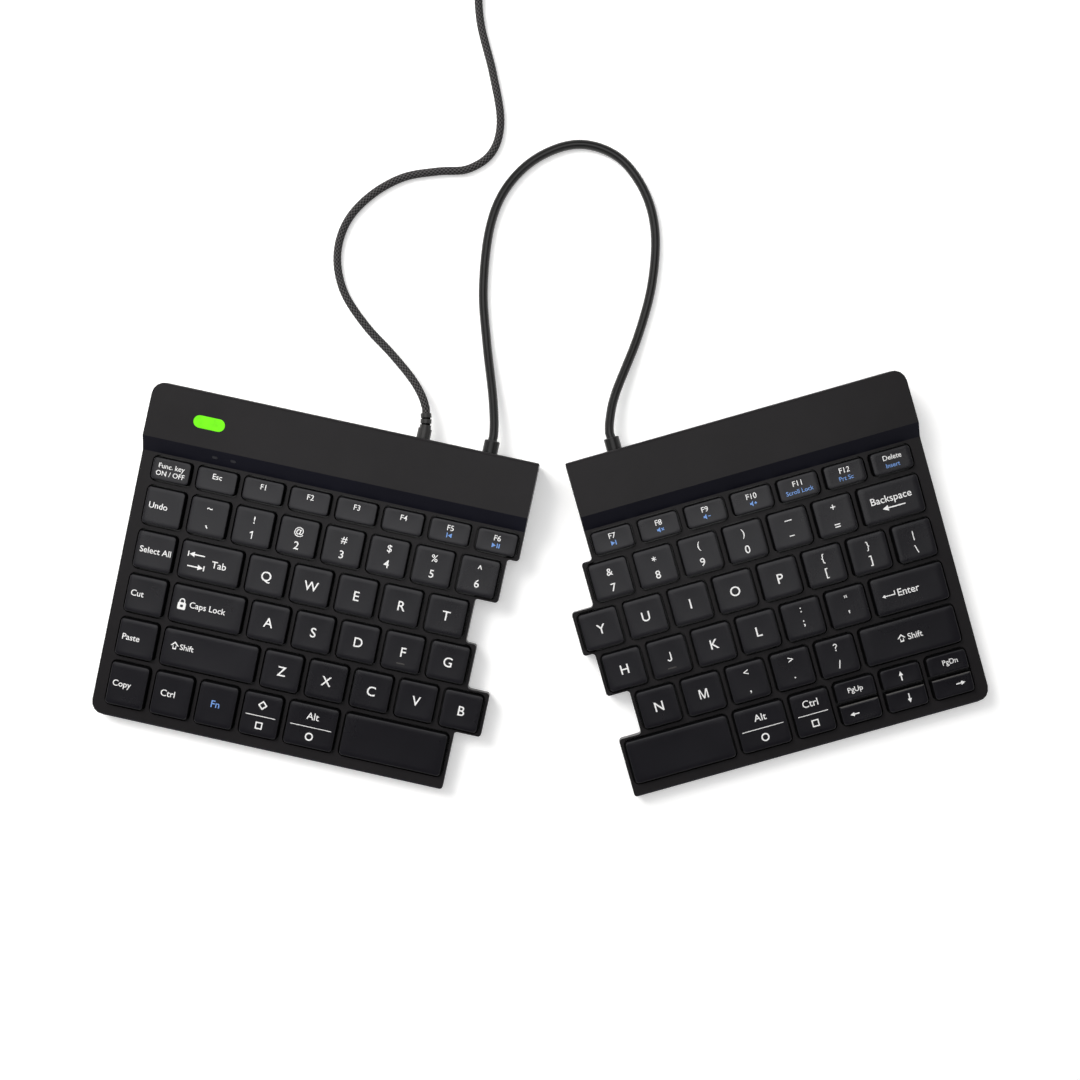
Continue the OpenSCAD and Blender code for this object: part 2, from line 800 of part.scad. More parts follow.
// The strain relief is a block at the bar and ribs that bend away from it, step by step
block_share = 0.41;
rib_share = 0.14;
relief_ribs = 3;
relief_block = block_share * relief_length;
rib_height = rib_share * relief_length;
rib_step = (relief_length - relief_block - rib_height) / (relief_ribs - 1);
rib_bend = relief_bend / relief_ribs;
rib_shoulder = 0.5;
rib_taper = 0.05;
rib_groove = 0.5;
rib_sink = 0.25;
function rib_radius(n) = relief_diameter / 2 - rib_shoulder - rib_taper * n;
module relief_chain(n) {
    rotate([0, -rib_bend, 0]) {
        translate([0, 0, -rib_sink])
            cylinder(r = rib_radius(n), h = rib_height + rib_sink);
        if (n < relief_ribs - 1) {
            cylinder(r = rib_radius(n) - rib_groove, h = rib_step + overlap);
            translate([0, 0, rib_step])
                relief_chain(n + 1);
        }
    }
}

// Cords: rings along a smooth curve through the route's points
function smooth_point(a, b, c, d, t) = 0.5 * (2 * b + (c - a) * t
    + (2 * a - 5 * b + 4 * c - d) * t * t + (3 * b - a - 3 * c + d) * t * t * t);
function route_at(p, i) =
    let (last = len(p) - 1)
    i < 0 ? 2 * p[0] - p[1] : i > last ? 2 * p[last] - p[last - 1] : p[i];
function smoothed(p, n) = concat(
    [for (i = [0:len(p) - 2]) for (k = [0:n - 1])
        smooth_point(route_at(p, i - 1), p[i], p[i + 1], route_at(p, i + 2), k / n)],
    [p[len(p) - 1]]
);
function heading(p, i) = unit(p[min(i + 1, len(p) - 1)] - p[max(i - 1, 0)]);
function ring(p, i, radius, sides) =
    let (ahead = heading(p, i))
    let (across = unit(cross(ahead, [0, 0, 1])))
    let (up = cross(across, ahead))
    [for (k = [0:sides - 1])
        p[i] + radius * (across * cos(360 * k / sides) + up * sin(360 * k / sides))];
module tube(p, diameter, sides) {
    last = len(p) - 1;
    points = flat([for (i = [0:last]) ring(p, i, diameter / 2, sides)]);
    skin = [for (i = [0:last - 1]) for (k = [0:sides - 1]) for (half = [0, 1])
        let (a = i * sides + k)
        let (b = i * sides + (k + 1) % sides)
        half == 0 ? [a, b, b + sides] : [a, b + sides, a + sides]];
    start = [for (k = [1:sides - 2]) [0, k + 1, k]];
    end = [for (k = [1:sides - 2]) [last * sides, last * sides + k, last * sides + k + 1]];
    polyhedron(points, concat(skin, start, end));
}
function route_length(p) = sum([for (i = [1:len(p) - 1]) norm(p[i] - p[i - 1])], len(p) - 1);

cord_sides = 8;
ring_split = 2;
straight_run = 2.4;
link_radius = link_diameter / 2;
lead_radius = lead_diameter / 2;
// Where a cord leaves the collar or the strain relief, in the plan of the half
function aim(turn) = [-sin(turn), cos(turn)];
function collar_tip(side) = [bar_edge_x(side) - link_exit_inset, body_depth + collar_length];
function rib_way(n) = n < relief_ribs ? rib_step : rib_height;
relief_tip = [bar_edge_x(LEFT) - lead_exit_inset, body_depth + relief_block]
    + total([for (n = [1:relief_ribs]) rib_way(n) * aim(n * rib_bend)]);
// A cord starts just off that tip, with three points in a straight line
function straight_out(side, tip, turn) = [for (n = [0, 0.5, 1])
    world_at(side, tip + (seat_room + n * straight_run) * aim(turn), exit_height)];
function reversed(list) = [for (i = [len(list) - 1:-1:0]) list[i]];

// Route points on the table are counted from midway between the inner rear corners
rear_middle = (world(LEFT, inner_rear(LEFT)) + world(RIGHT, inner_rear(RIGHT))) / 2;
function on_table(x, y, z) = [rear_middle.x + x, rear_middle.y + y, z];
link_fall = [7, 5.2, 2.2];
lead_fall = [7, 5.5, 3];

// The link cable lies on the table between the two collars
link_route = [
    each straight_out(LEFT, collar_tip(LEFT), 0),
    on_table(-24.2, 18.5, link_fall[0]),
    on_table(-25, 30, link_fall[1]),
    on_table(-27.6, 52, link_fall[2]),
    on_table(-29, 74, link_radius),
    on_table(-26.3, 99, link_radius),
    on_table(-19.3, 116, link_radius),
    on_table(-6.3, 128.5, link_radius),
    on_table(10.7, 134, link_radius),
    on_table(26.7, 129, link_radius),
    on_table(37.7, 115.5, link_radius),
    on_table(42.7, 98, link_radius),
    on_table(41.5, 76, link_radius),
    on_table(35.7, 54, link_fall[2]),
    on_table(26.3, 30, link_fall[1]),
    on_table(23.8, 19, link_fall[0]),
    each reversed(straight_out(RIGHT, collar_tip(RIGHT), 0))
];

// The lead runs to a stored coil, which rests on its tie
tie_room = 0.4;
coil_pitch = lead_diameter + coil_space;
coil_low = lead_radius + tie_room + tie_thickness;
coil_high = coil_low + coil_pitch;
coil_entry = on_table(-31.3, 225, coil_low);
lead_step = 6;
lead_route = [
    each straight_out(LEFT, relief_tip, relief_bend),
    on_table(-54.4, 29, lead_fall[0]),
    on_table(-58.8, 36.3, lead_fall[1]),
    on_table(-67.4, 46.7, lead_fall[2]),
    on_table(-78.5, 58.8, lead_radius),
    on_table(-87.6, 73, lead_radius),
    on_table(-90.3, 88, lead_radius),
    on_table(-86.3, 102, lead_radius),
    on_table(-76.3, 113, lead_radius),
    on_table(-62.8, 120.5, lead_radius),
    on_table(-48.3, 123, lead_radius),
    on_table(-35.3, 124, lead_radius),
    on_table(-25.3, 131, lead_radius),
    on_table(-21.8, 144, lead_radius),
    on_table(-25, 164, lead_radius),
    on_table(-30.3, 186, lead_radius),
    coil_entry - [0, 3 * lead_step, 0],
    coil_entry - [0, lead_step, 0],
    coil_entry
];

// The coil winds inward on the table, climbs a layer in half a turn and winds out above
coil_sides = 6;
rings_per_turn = 24;
turns_in = 5;
turns_out = 4.75;
climb_turns = 0.5;
coil_outer = coil_diameter / 2 + coil_pitch * turns_in / 2;
coil_inner = coil_outer - coil_pitch * turns_in;
coil_middle = [coil_entry.x + coil_outer, coil_entry.y + lead_diameter];
function coil_radius(s) =
    let (x = s - turns_in)
    x <= 0 ? coil_outer - coil_pitch * s
        : x <= climb_turns ? coil_inner - coil_pitch * x * (1 - x / climb_turns)
        : coil_inner + coil_pitch * (x - climb_turns);
function coil_height(s) =
    let (t = min(1, max(0, (s - turns_in) / climb_turns)))
    coil_low + coil_pitch * t * t * (3 - 2 * t);
function coil_point(s) = [
    coil_middle.x - coil_radius(s) * cos(360 * s),
    coil_middle.y + coil_radius(s) * sin(360 * s),
    coil_height(s)
];
all_turns = turns_in + climb_turns + turns_out;
coil_end = coil_point(all_turns);
plug_height = grip_height / 2;
plug_face = [coil_end.x + 5 * lead_step + lead_diameter, coil_end.y, plug_height];
coil_route = concat(
    [coil_entry],
    [for (n = [0:all_turns * rings_per_turn]) coil_point(n / rings_per_turn)],
    [
        coil_end + [lead_step, 0, 0],
        coil_end + [2 * lead_step, 0, 0],
        coil_end + [3 * lead_step, 0, 0],
        [coil_end.x + 4 * lead_step, coil_end.y, (coil_high + plug_height) / 2],
        plug_face - [lead_diameter, 0, 0],
        plug_face
    ]
);
function self_gap(p, diameter, skip) = min([for (i = [0:len(p) - 1 - skip])
    min([for (j = [i + skip:len(p) - 1]) norm(p[j] - p[i])])]) - diameter;
echo(coil_self_gap = self_gap(coil_route, lead_diameter, rings_per_turn / 2));
echo(link_length = route_length(smoothed(link_route, ring_split)));
echo(lead_length = route_length(smoothed(lead_route, ring_split)));
echo(coil_length = route_length(coil_route));

// Plug, drawn along x from the face that the lead meets
sleeve_length = 6;
sleeve_radius = 2.8;
grip_corner = 2.2;
shell_wall = 0.35;
shell_bore = [shell_width - 2 * shell_wall, shell_height - 2 * shell_wall];
tongue_height = 1.8;
tongue_inset = 1.5;
window_size = 2.2;
window_back = 5.2;
module at_plug() {
    translate(plug_face)
        children();
}
module along_x(length) {
    rotate([90, 0, 90])
        linear_extrude(length)
            children();
}

// One module for each piece
module left_top_case() {
    color(case_color)
        half(LEFT)
            top_shell(LEFT);
}
module left_bottom_case() {
    color(tray_color)
        half(LEFT)
            tray(LEFT);
}
module left_key_plate() {
    color(steel_color)
        half(LEFT)
            layer(LEFT, plate_drop, plate_thickness);
}
module left_membrane() {
    color(film_color)
        half(LEFT)
            membrane(LEFT);
}
module left_rubber_domes() {
    color(rubber_color)
        half(LEFT)
            domes(LEFT);
}
module left_scissors() {
    color(link_color)
        half(LEFT)
            scissors(LEFT);
}
module controller_board() {
    color(board_color)
        half(LEFT) {
            board(LEFT);
            controller_parts();
        }
}
module indicator_lens() {
    color(lamp_color)
        half(LEFT) {
            at_indicator()
                lens(indicator_length, indicator_width, bar_ceiling);
            light_guide();
        }
}
module status_lenses() {
    color(lens_color)
        half(LEFT)
            for (n = [0, 1])
                at_status(n)
                    lens(status_length, status_width, deck_thickness);
}
module left_feet() {
    color(rubber_color)
        half(LEFT)
            feet(LEFT);
}
module left_screws() {
    color(steel_color)
        half(LEFT)
            screws(LEFT);
}
module usb_strain_relief() {
    color(rubber_color)
        at_exit(LEFT, lead_exit_inset) {
            rotate_extrude()
                polygon(concat(exit_root(), [
                    [relief_diameter / 2, seat_room],
                    [relief_diameter / 2, relief_block],
                    [0, relief_block]
                ]));
            translate([0, 0, relief_block])
                relief_chain(0);
        }
}
module right_top_case() {
    color(case_color)
        half(RIGHT)
            top_shell(RIGHT);
}
module right_bottom_case() {
    color(tray_color)
        half(RIGHT)
            tray(RIGHT);
}
module right_key_plate() {
    color(steel_color)
        half(RIGHT)
            layer(RIGHT, plate_drop, plate_thickness);
}
module right_membrane() {
    color(film_color)
        half(RIGHT)
            membrane(RIGHT);
}
module right_rubber_domes() {
    color(rubber_color)
        half(RIGHT)
            domes(RIGHT);
}
module right_scissors() {
    color(link_color)
        half(RIGHT)
            scissors(RIGHT);
}
module link_board() {
    color(board_color)
        half(RIGHT)
            board(RIGHT);
}
module right_feet() {
    color(rubber_color)
        half(RIGHT)
            feet(RIGHT);
}
module right_screws() {
    color(steel_color)
        half(RIGHT)
            screws(RIGHT);
}
module left_link_relief() {
    link_relief(LEFT);
}
module right_link_relief() {
    link_relief(RIGHT);
}
module link_cable() {
    color(cord_color)
        tube(smoothed(link_route, ring_split), link_diameter, cord_sides);
}
module usb_cord() {
    color(cord_color)
        tube(smoothed(lead_route, ring_split), lead_diameter, cord_sides);
}
module usb_coil() {
    color(cord_color)
        tube(coil_route, lead_diameter, coil_sides);
}
module coil_tie() {
    half_width = tie_width / 2;
    closest = coil_inner - coil_pitch / 8;
    low_x = sqrt(closest * closest - half_width * half_width) - lead_radius - tie_room;
    high_x = coil_outer - coil_pitch / 2 + lead_radius + tie_room;
    high_z = coil_high + lead_radius + tie_room;
    color(rubber_color)
        translate([coil_middle.x, coil_middle.y - half_width, 0])
            difference() {
                translate([low_x - tie_thickness, 0, 0])
                    cube([high_x - low_x + 2 * tie_thickness, tie_width, high_z + tie_thickness]);
                translate([low_x, -overlap, tie_thickness])
                    cube([high_x - low_x, tie_width + 2 * overlap, high_z - tie_thickness]);
            }
}
module usb_plug_body() {
    color(cord_color)
        at_plug() {
            rotate([0, 90, 0])
                cylinder(r = sleeve_radius, h = sleeve_length + overlap);
            translate([sleeve_length, 0, 0])
                along_x(grip_length)
                    polygon(round_rect(grip_width, grip_height, grip_corner));
            translate([sleeve_length + grip_length - overlap, -shell_width / 2 + shell_wall + fit, fit])
                cube([
                    shell_length - tongue_inset + overlap,
                    shell_bore[0] - 2 * fit,
                    min(tongue_height, shell_bore[1] / 2 - 2 * fit)
                ]);
        }
}
module usb_plug_shell() {
    color(steel_color)
        at_plug()
            translate([sleeve_length + grip_length, 0, 0])
                difference() {
                    along_x(shell_length)
                        square([shell_width, shell_height], center = true);
                    translate([-overlap, 0, 0])
                        along_x(shell_length + 2 * overlap)
                            square(shell_bore, center = true);
                    for (side = [-1, 1])
                        translate([shell_length - window_back, side * shell_width / 4, shell_height / 2])
                            cube([window_size, window_size, 4 * shell_wall], center = true);
                }
}
module func_lock_key() {
    caps(LEFT, FUNCTION, 0, 0);
}
module escape_key() {
    caps(LEFT, FUNCTION, 1, 1);
}
module left_function_keys() {
    caps(LEFT, FUNCTION, 2, 7);
}
module left_number_keys() {
    caps(LEFT, NUMBER, 1, 7);
}
module left_shortcut_keys() {
    for (r = [THUMB:NUMBER])
        caps(LEFT, r, 0, 0);
}
module tab_key() {
    caps(LEFT, UPPER, 1, 1);
}
module left_upper_letter_keys() {
    caps(LEFT, UPPER, 2, 6);
}
module caps_lock_key() {
    caps(LEFT, HOME, 1, 1);
}
module left_home_letter_keys() {
    caps(LEFT, HOME, 2, 6);
}
module left_shift_key() {
    caps(LEFT, LOWER, 1, 1);
}
module left_lower_letter_keys() {
    caps(LEFT, LOWER, 2, 6);
}
module left_modifier_keys() {
    caps(LEFT, THUMB, 1, 3);
}
module left_alt_key() {
    caps(LEFT, THUMB, 4, 4);
}
module left_space_bar() {
    caps(LEFT, THUMB, 5, 5);
}
module right_function_keys() {
    caps(RIGHT, FUNCTION, 1, 6);
}
module delete_key() {
    caps(RIGHT, FUNCTION, 0, 0);
}
module right_number_keys() {
    caps(RIGHT, NUMBER, 1, 6);
}
module backspace_key() {
    caps(RIGHT, NUMBER, 0, 0);
}
module right_upper_letter_keys() {
    caps(RIGHT, UPPER, 0, 7);
}
module enter_key() {
    caps(RIGHT, HOME, 0, 0);
}
module right_home_letter_keys() {
    caps(RIGHT, HOME, 1, 6);
}
module right_shift_key() {
    caps(RIGHT, LOWER, 0, 0);
}
module right_lower_letter_keys() {
    caps(RIGHT, LOWER, 1, 5);
}
module right_space_bar() {
    caps(RIGHT, THUMB, 5, 5);
}
module right_modifier_keys() {
    caps(RIGHT, THUMB, 3, 4);
}
module page_up_key() {
    half_cap(2, 0);
}
module left_arrow_key() {
    half_cap(2, 1);
}
module up_arrow_key() {
    half_cap(1, 0);
}
module down_arrow_key() {
    half_cap(1, 1);
}
module page_down_key() {
    half_cap(0, 0);
}
module right_arrow_key() {
    half_cap(0, 1);
}

left_top_case();
left_bottom_case();
left_key_plate();
left_membrane();
left_rubber_domes();
left_scissors();
controller_board();
indicator_lens();
status_lenses();
left_feet();
left_screws();
usb_strain_relief();
right_top_case();
right_bottom_case();
right_key_plate();
right_membrane();
right_rubber_domes();
right_scissors();
link_board();
right_feet();
right_screws();
left_link_relief();
right_link_relief();
link_cable();
usb_cord();
usb_coil();
coil_tie();
usb_plug_body();
usb_plug_shell();
func_lock_key();
escape_key();
left_function_keys();
left_number_keys();
left_shortcut_keys();
tab_key();
left_upper_letter_keys();
caps_lock_key();
left_home_letter_keys();
left_shift_key();
left_lower_letter_keys();
left_modifier_keys();
left_alt_key();
left_space_bar();
right_function_keys();
delete_key();
right_number_keys();
backspace_key();
right_upper_letter_keys();
enter_key();
right_home_letter_keys();
right_shift_key();
right_lower_letter_keys();
right_space_bar();
right_modifier_keys();
page_up_key();
left_arrow_key();
up_arrow_key();
down_arrow_key();
page_down_key();
right_arrow_key();
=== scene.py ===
"""Looks of a split keyboard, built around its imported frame: cords, housings, keycaps, legends, light."""

import json
from collections import namedtuple
from math import cos, pi, radians, sin, tan, tau

import bmesh
import bpy
from mathutils import Matrix, Vector

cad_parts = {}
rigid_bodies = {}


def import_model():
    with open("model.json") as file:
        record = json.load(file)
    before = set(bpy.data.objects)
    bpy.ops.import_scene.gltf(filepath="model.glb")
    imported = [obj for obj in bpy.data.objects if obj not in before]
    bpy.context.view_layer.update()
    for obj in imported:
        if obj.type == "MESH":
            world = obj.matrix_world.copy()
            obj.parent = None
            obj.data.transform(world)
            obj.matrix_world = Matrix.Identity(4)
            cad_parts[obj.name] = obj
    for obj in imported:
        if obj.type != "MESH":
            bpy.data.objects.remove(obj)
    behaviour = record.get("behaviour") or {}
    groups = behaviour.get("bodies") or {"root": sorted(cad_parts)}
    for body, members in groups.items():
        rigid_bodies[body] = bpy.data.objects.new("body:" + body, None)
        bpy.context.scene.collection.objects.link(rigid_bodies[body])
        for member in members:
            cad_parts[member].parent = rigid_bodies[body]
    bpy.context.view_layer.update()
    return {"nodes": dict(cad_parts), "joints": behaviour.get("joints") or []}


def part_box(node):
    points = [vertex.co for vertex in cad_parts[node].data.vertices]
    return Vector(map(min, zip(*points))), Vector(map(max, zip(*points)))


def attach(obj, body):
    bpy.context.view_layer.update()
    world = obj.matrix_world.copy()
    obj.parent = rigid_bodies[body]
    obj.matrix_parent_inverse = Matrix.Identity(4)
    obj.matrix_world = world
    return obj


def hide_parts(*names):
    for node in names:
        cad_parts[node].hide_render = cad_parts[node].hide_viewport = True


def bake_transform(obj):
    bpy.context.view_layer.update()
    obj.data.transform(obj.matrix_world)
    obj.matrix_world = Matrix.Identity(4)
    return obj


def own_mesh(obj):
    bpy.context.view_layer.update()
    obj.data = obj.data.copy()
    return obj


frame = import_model()
NODES = frame["nodes"]
MM = 0.001

# Placement of the two decks, as in the part's source
DECK_TILT = radians(2.5)
TURNS = {"left": radians(-12.3), "right": radians(15.8)}
DECKS = {
    side: Matrix.Rotation(turn, 4, "Z") @ Matrix.Rotation(DECK_TILT, 4, "X")
    for side, turn in TURNS.items()
}
BODIES = {"left": "left_half", "right": "right_half"}

# Camera, straight above the table
CAMERA_PLACE = (13.18 * MM, 19.21 * MM, 600 * MM)
CAMERA_TURN = (-0.00079, 0.0203874, 0)
FOCAL_MM = 47.71
SENSOR_MM = 36


def add_object(name, data):
    """A new object in the scene."""
    added = bpy.data.objects.new(name, data)
    bpy.context.scene.collection.objects.link(added)
    return added


def make_camera():
    data = bpy.data.cameras.new("camera")
    data.lens = FOCAL_MM
    data.sensor_width = SENSOR_MM
    camera = add_object("camera", data)
    camera.location = CAMERA_PLACE
    camera.rotation_euler = CAMERA_TURN
    bpy.context.scene.camera = camera


make_camera()


# Helpers for materials
class Nodes:
    """Short calls for the nodes of a material or of the world."""

    def __init__(self, owner, shader, **sockets):
        owner.use_nodes = True
        self.owner = owner
        self.tree = owner.node_tree
        self.shader = self.tree.nodes[shader]
        for socket, value in sockets.items():
            self.shader.inputs[socket.replace("_", " ")].default_value = value

    def node(self, kind, links=None, **settings):
        made = self.tree.nodes.new("ShaderNode" + kind)
        for name, value in settings.items():
            if hasattr(made, name):
                setattr(made, name, value)
            else:
                made.inputs[name.replace("_", " ")].default_value = value
        for socket, source in (links or {}).items():
            self.tree.links.new(source, made.inputs[socket])
        return made

    def place(self, output="Object"):
        return self.node("TexCoord").outputs[output]

    def noise(self, scale, detail=3.0, place=None):
        vector = {"Vector": place or self.place()}
        made = self.node("TexNoise", vector, Scale=scale, Detail=detail, Roughness=0.55)
        return made.outputs["Fac"]

    def ramp(self, source, low, high, at=(0.3, 0.7)):
        made = self.node("ValToRGB", {"Fac": source})
        for element, position, colour in zip(made.color_ramp.elements, at, (low, high)):
            element.position = position
            element.color = (*colour, 1)
        return made.outputs["Color"]

    def span(self, source, low, high):
        made = self.node("MapRange", {"Value": source}, To_Min=low, To_Max=high)
        return made.outputs["Result"]

    def bump(self, height, distance, strength, below=None):
        links = {"Height": height}
        if below:
            links["Normal"] = below
        made = self.node("Bump", links, Distance=distance, Strength=strength)
        return made.outputs["Normal"]

    def feed(self, **sources):
        for socket, source in sources.items():
            self.tree.links.new(source, self.shader.inputs[socket.replace("_", " ")])
        return self.owner


class Paint(Nodes):
    """A new material."""

    def __init__(self, name, **sockets):
        super().__init__(bpy.data.materials.new(name), "Principled BSDF", **sockets)


# Scales of the patterns in the finishes
GRAIN = 2600
SMUDGE = 35
DUST = 90
RUBBER_GRAIN = 1800
TRACES = 260
FILM_PATCHES = 60
BOARD_LINES = 180
BOARD_PATCHES = 400
LENS_CLOUD = 300
SPECKLE = 2400
FUZZ = 4000
LOOPS = 2200
CLOTH_PATCHES = 500


def moulded(name, colour, spread=0.12, rough=(0.46, 0.58), grain=18e-6, gloss=0.1):
    """Satin moulded plastic: fine spark-eroded grain, faint patches in colour and gloss."""
    paint = Paint(name, Specular_IOR_Level=gloss)
    patches = paint.noise(SMUDGE, detail=4)
    dark = [c * (1 - spread) for c in colour]
    light = [c * (1 + spread) for c in colour]
    fine = paint.noise(GRAIN, detail=2)
    return paint.feed(
        Base_Color=paint.ramp(patches, dark, light),
        Roughness=paint.span(patches, *rough),
        Normal=paint.bump(fine, grain, strength=0.6),
    )


def rubbery(name, colour, rough=(0.55, 0.7), grain=25e-6, gloss=0.25):
    """Soft rubber: no clear gloss, dusty patches."""
    paint = Paint(name, Specular_IOR_Level=gloss)
    patches = paint.noise(DUST, detail=4)
    dust = [c * 1.35 + 0.002 for c in colour]
    return paint.feed(
        Base_Color=paint.ramp(patches, colour, dust, (0.45, 0.85)),
        Roughness=paint.span(patches, *rough),
        Normal=paint.bump(paint.noise(RUBBER_GRAIN), grain, strength=0.5),
    )


def metal(name, colour, rough=(0.22, 0.34), streak=(8, 900, 900)):
    """Rolled or plated metal with fine streaks along one way."""
    paint = Paint(name, Metallic=1.0)
    stretched = paint.node("Mapping", {"Vector": paint.place()}, Scale=streak)
    lines = paint.noise(1, place=stretched.outputs["Vector"])
    pale = [min(1, c * 1.12) for c in colour]
    return paint.feed(
        Base_Color=paint.ramp(lines, colour, pale),
        Roughness=paint.span(lines, *rough),
        Normal=paint.bump(lines, 4e-6, strength=0.4),
    )


def lit_lens(name, colour, glow):
    """Moulded light window, a little cloudy from the lamp behind it."""
    paint = Paint(name, Roughness=0.4, Specular_IOR_Level=0.2, Emission_Strength=glow)
    cloud = paint.noise(LENS_CLOUD, detail=2)
    soft = [c * 0.9 for c in colour]
    body = [c * 0.05 for c in colour]
    paler = [c * 0.1 for c in colour]
    return paint.feed(
        Base_Color=paint.ramp(cloud, body, paler),
        Emission_Color=paint.ramp(cloud, soft, colour, (0.3, 0.6)),
        Normal=paint.bump(cloud, 6e-6, strength=0.4),
    )


def printed(name, colour):
    """Laser-marked or printed legend ink, a little uneven."""
    paint = Paint(name, Specular_IOR_Level=0.2)
    speckle = paint.noise(SPECKLE)
    worn = [c * 0.86 for c in colour]
    return paint.feed(
        Base_Color=paint.ramp(speckle, worn, colour, (0.25, 0.6)),
        Roughness=paint.span(speckle, 0.45, 0.6),
    )


def braided(name, dark, pale, strands, lay):
    """Woven sleeve: two crossing families of strands, from the cord's own map."""
    paint = Paint(name, Specular_IOR_Level=0.2)
    crossing = []
    for slant in (1, -1):
        mapped = paint.node("Mapping", {"Vector": paint.place("UV")}, Scale=(slant / lay, strands, 1))
        split = paint.node("SeparateXYZ", {"Vector": mapped.outputs["Vector"]})
        both = paint.node("Math", {0: split.outputs["X"], 1: split.outputs["Y"]}, operation="ADD")
        turns = paint.node("Math", {0: both.outputs[0]}, operation="MULTIPLY")
        turns.inputs[1].default_value = tau
        wave = paint.node("Math", {0: turns.outputs[0]}, operation="SINE")
        crossing.append(wave.outputs[0])
    weave = paint.node("Math", {0: crossing[0], 1: crossing[1]}, operation="ADD").outputs[0]
    level = paint.node("MapRange", {"Value": weave}, From_Min=-2, From_Max=2).outputs["Result"]
    fuzz = paint.noise(FUZZ, detail=2)
    fuzzy = paint.bump(fuzz, 15e-6, strength=0.5)
    return paint.feed(
        Base_Color=paint.ramp(level, dark, pale, (0.28, 0.78)),
        Roughness=paint.span(fuzz, 0.6, 0.8),
        Normal=paint.bump(level, 60e-6, strength=0.5, below=fuzzy),
    )


def patterned(
    name, kind, output, colours, at, patches, rough, relief=0, strength=0.5, sheen=0, **settings
):
    """Printed traces, copper lines or cloth loops: colour and relief from one pattern."""
    paint = Paint(name, Sheen_Weight=sheen)
    pattern = paint.node(kind, {"Vector": paint.place()}, **settings).outputs[output]
    if relief:
        paint.feed(Normal=paint.bump(pattern, relief, strength))
    return paint.feed(
        Base_Color=paint.ramp(pattern, *colours, at),
        Roughness=paint.span(paint.noise(patches), *rough),
    )


CASE = moulded("case_plastic", (0.0148, 0.0138, 0.0148), rough=(0.28, 0.36), gloss=0.115)
# Near-black walls of the key holes: painted shade for the dark gaps round the keys.
HOLE_SHADE = moulded("case_hole_plastic", (0.003, 0.003, 0.0032), rough=(0.6, 0.75), gloss=0.02)
# Darker, bluer slope before the bar: painted shade of a face turned away from the key light.
SLOPE_SHADE = moulded("case_slope_plastic", (0.0085, 0.0085, 0.014), gloss=0.07)
TRAY = moulded("tray_plastic", (0.014, 0.014, 0.0145))
SATIN = {"rough": (0.25, 0.31), "grain": 12e-6, "gloss": 0.42}
CAP = moulded("keycap_plastic", (0.0064, 0.0059, 0.0084), **SATIN)
# Darker sides of the caps: painted shade.
SKIRT_SHADE = moulded("keycap_skirt_plastic", (0.0036, 0.0036, 0.004), rough=(0.6, 0.75), gloss=0.02)
INK = printed("legend_ink", (0.86, 0.86, 0.86))
BLUE_INK = printed("legend_blue_ink", (0.18, 0.34, 0.72))
# Paler rims: a painted highlight on the rear slopes of the lower half-depth caps and on the homing bars.
RIM_HIGHLIGHT = moulded("keycap_rim_plastic", (0.05, 0.047, 0.045), **SATIN)
RUBBER = rubbery("black_rubber", (0.016, 0.016, 0.0165))
RELIEF = rubbery("relief_rubber", (0.022, 0.0215, 0.021), rough=(0.3, 0.4), gloss=0.4)
# Near-black floors of the strain relief's grooves: painted shade.
GROOVE_SHADE = rubbery("relief_groove_rubber", (0.002, 0.002, 0.002), rough=(0.7, 0.85), gloss=0.02)
DOME = rubbery("dome_rubber", (0.03, 0.03, 0.031))
LINK_PLASTIC = moulded("link_plastic", (0.012, 0.012, 0.0125), gloss=0.25)
STEEL = metal("plate_steel", (0.5, 0.51, 0.53))
FILM = patterned(
    "contact_film", "TexWave", "Fac", ((0.0132, 0.0132, 0.01408), (0.006, 0.006, 0.0064)), (0.1, 0.25),
    FILM_PATCHES, (0.25, 0.4), Scale=TRACES, Distortion=3.0,
)
BOARD = patterned(
    "circuit_board", "TexBrick", "Fac", ((0.012, 0.11, 0.045), (0.0192, 0.176, 0.072)), (0.4, 0.6),
    BOARD_PATCHES, (0.25, 0.4), relief=20e-6, Scale=BOARD_LINES,
)
LAMP = lit_lens("lime_lamp", (0.2, 1.0, 0.006), 0.95)
STATUS = lit_lens("status_window", (0.1, 0.1, 0.12), 0.12)
SHEATH = rubbery("cable_sheath", (0.006, 0.0057, 0.0057), rough=(0.26, 0.34), grain=12e-6, gloss=0.4)
COLLAR = rubbery("collar_rubber", (0.007, 0.0068, 0.0068), rough=(0.28, 0.36), grain=12e-6, gloss=0.36)

# The braid's strands cross where the lead's rings have raised vertices
LEAD_SIDES = 14
LEAD_RING = 0.9
BRAID_STRANDS = LEAD_SIDES / 2
BRAID_LAY = 2 * LEAD_RING * MM
BRAID = braided(
    "braided_sleeve", (0.006, 0.0058, 0.006), (0.09, 0.086, 0.088), BRAID_STRANDS, BRAID_LAY
)
STRAP = patterned(
    "strap_cloth", "TexVoronoi", "Distance", ((0.0264, 0.0264, 0.0286), (0.012, 0.012, 0.013)),
    (0.1, 0.7), CLOTH_PATCHES, (0.75, 0.95), relief=60e-6, strength=0.8, sheen=0.3, Scale=LOOPS,
)
GRIP = moulded("plug_grip_plastic", (0.014, 0.014, 0.015))
PLATED = metal("plug_plating", (0.72, 0.72, 0.73), rough=(0.14, 0.24))


# Helpers for meshes
def add_piece(mesh, body, *materials, slot, replaces=()):
    """A new piece with its mesh's name, which rides on a body."""
    for material in materials:
        mesh.materials.append(material)
    piece = add_object(mesh.name, mesh)
    if body:
        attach(piece, body)
    if replaces:
        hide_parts(*replaces)
    return piece


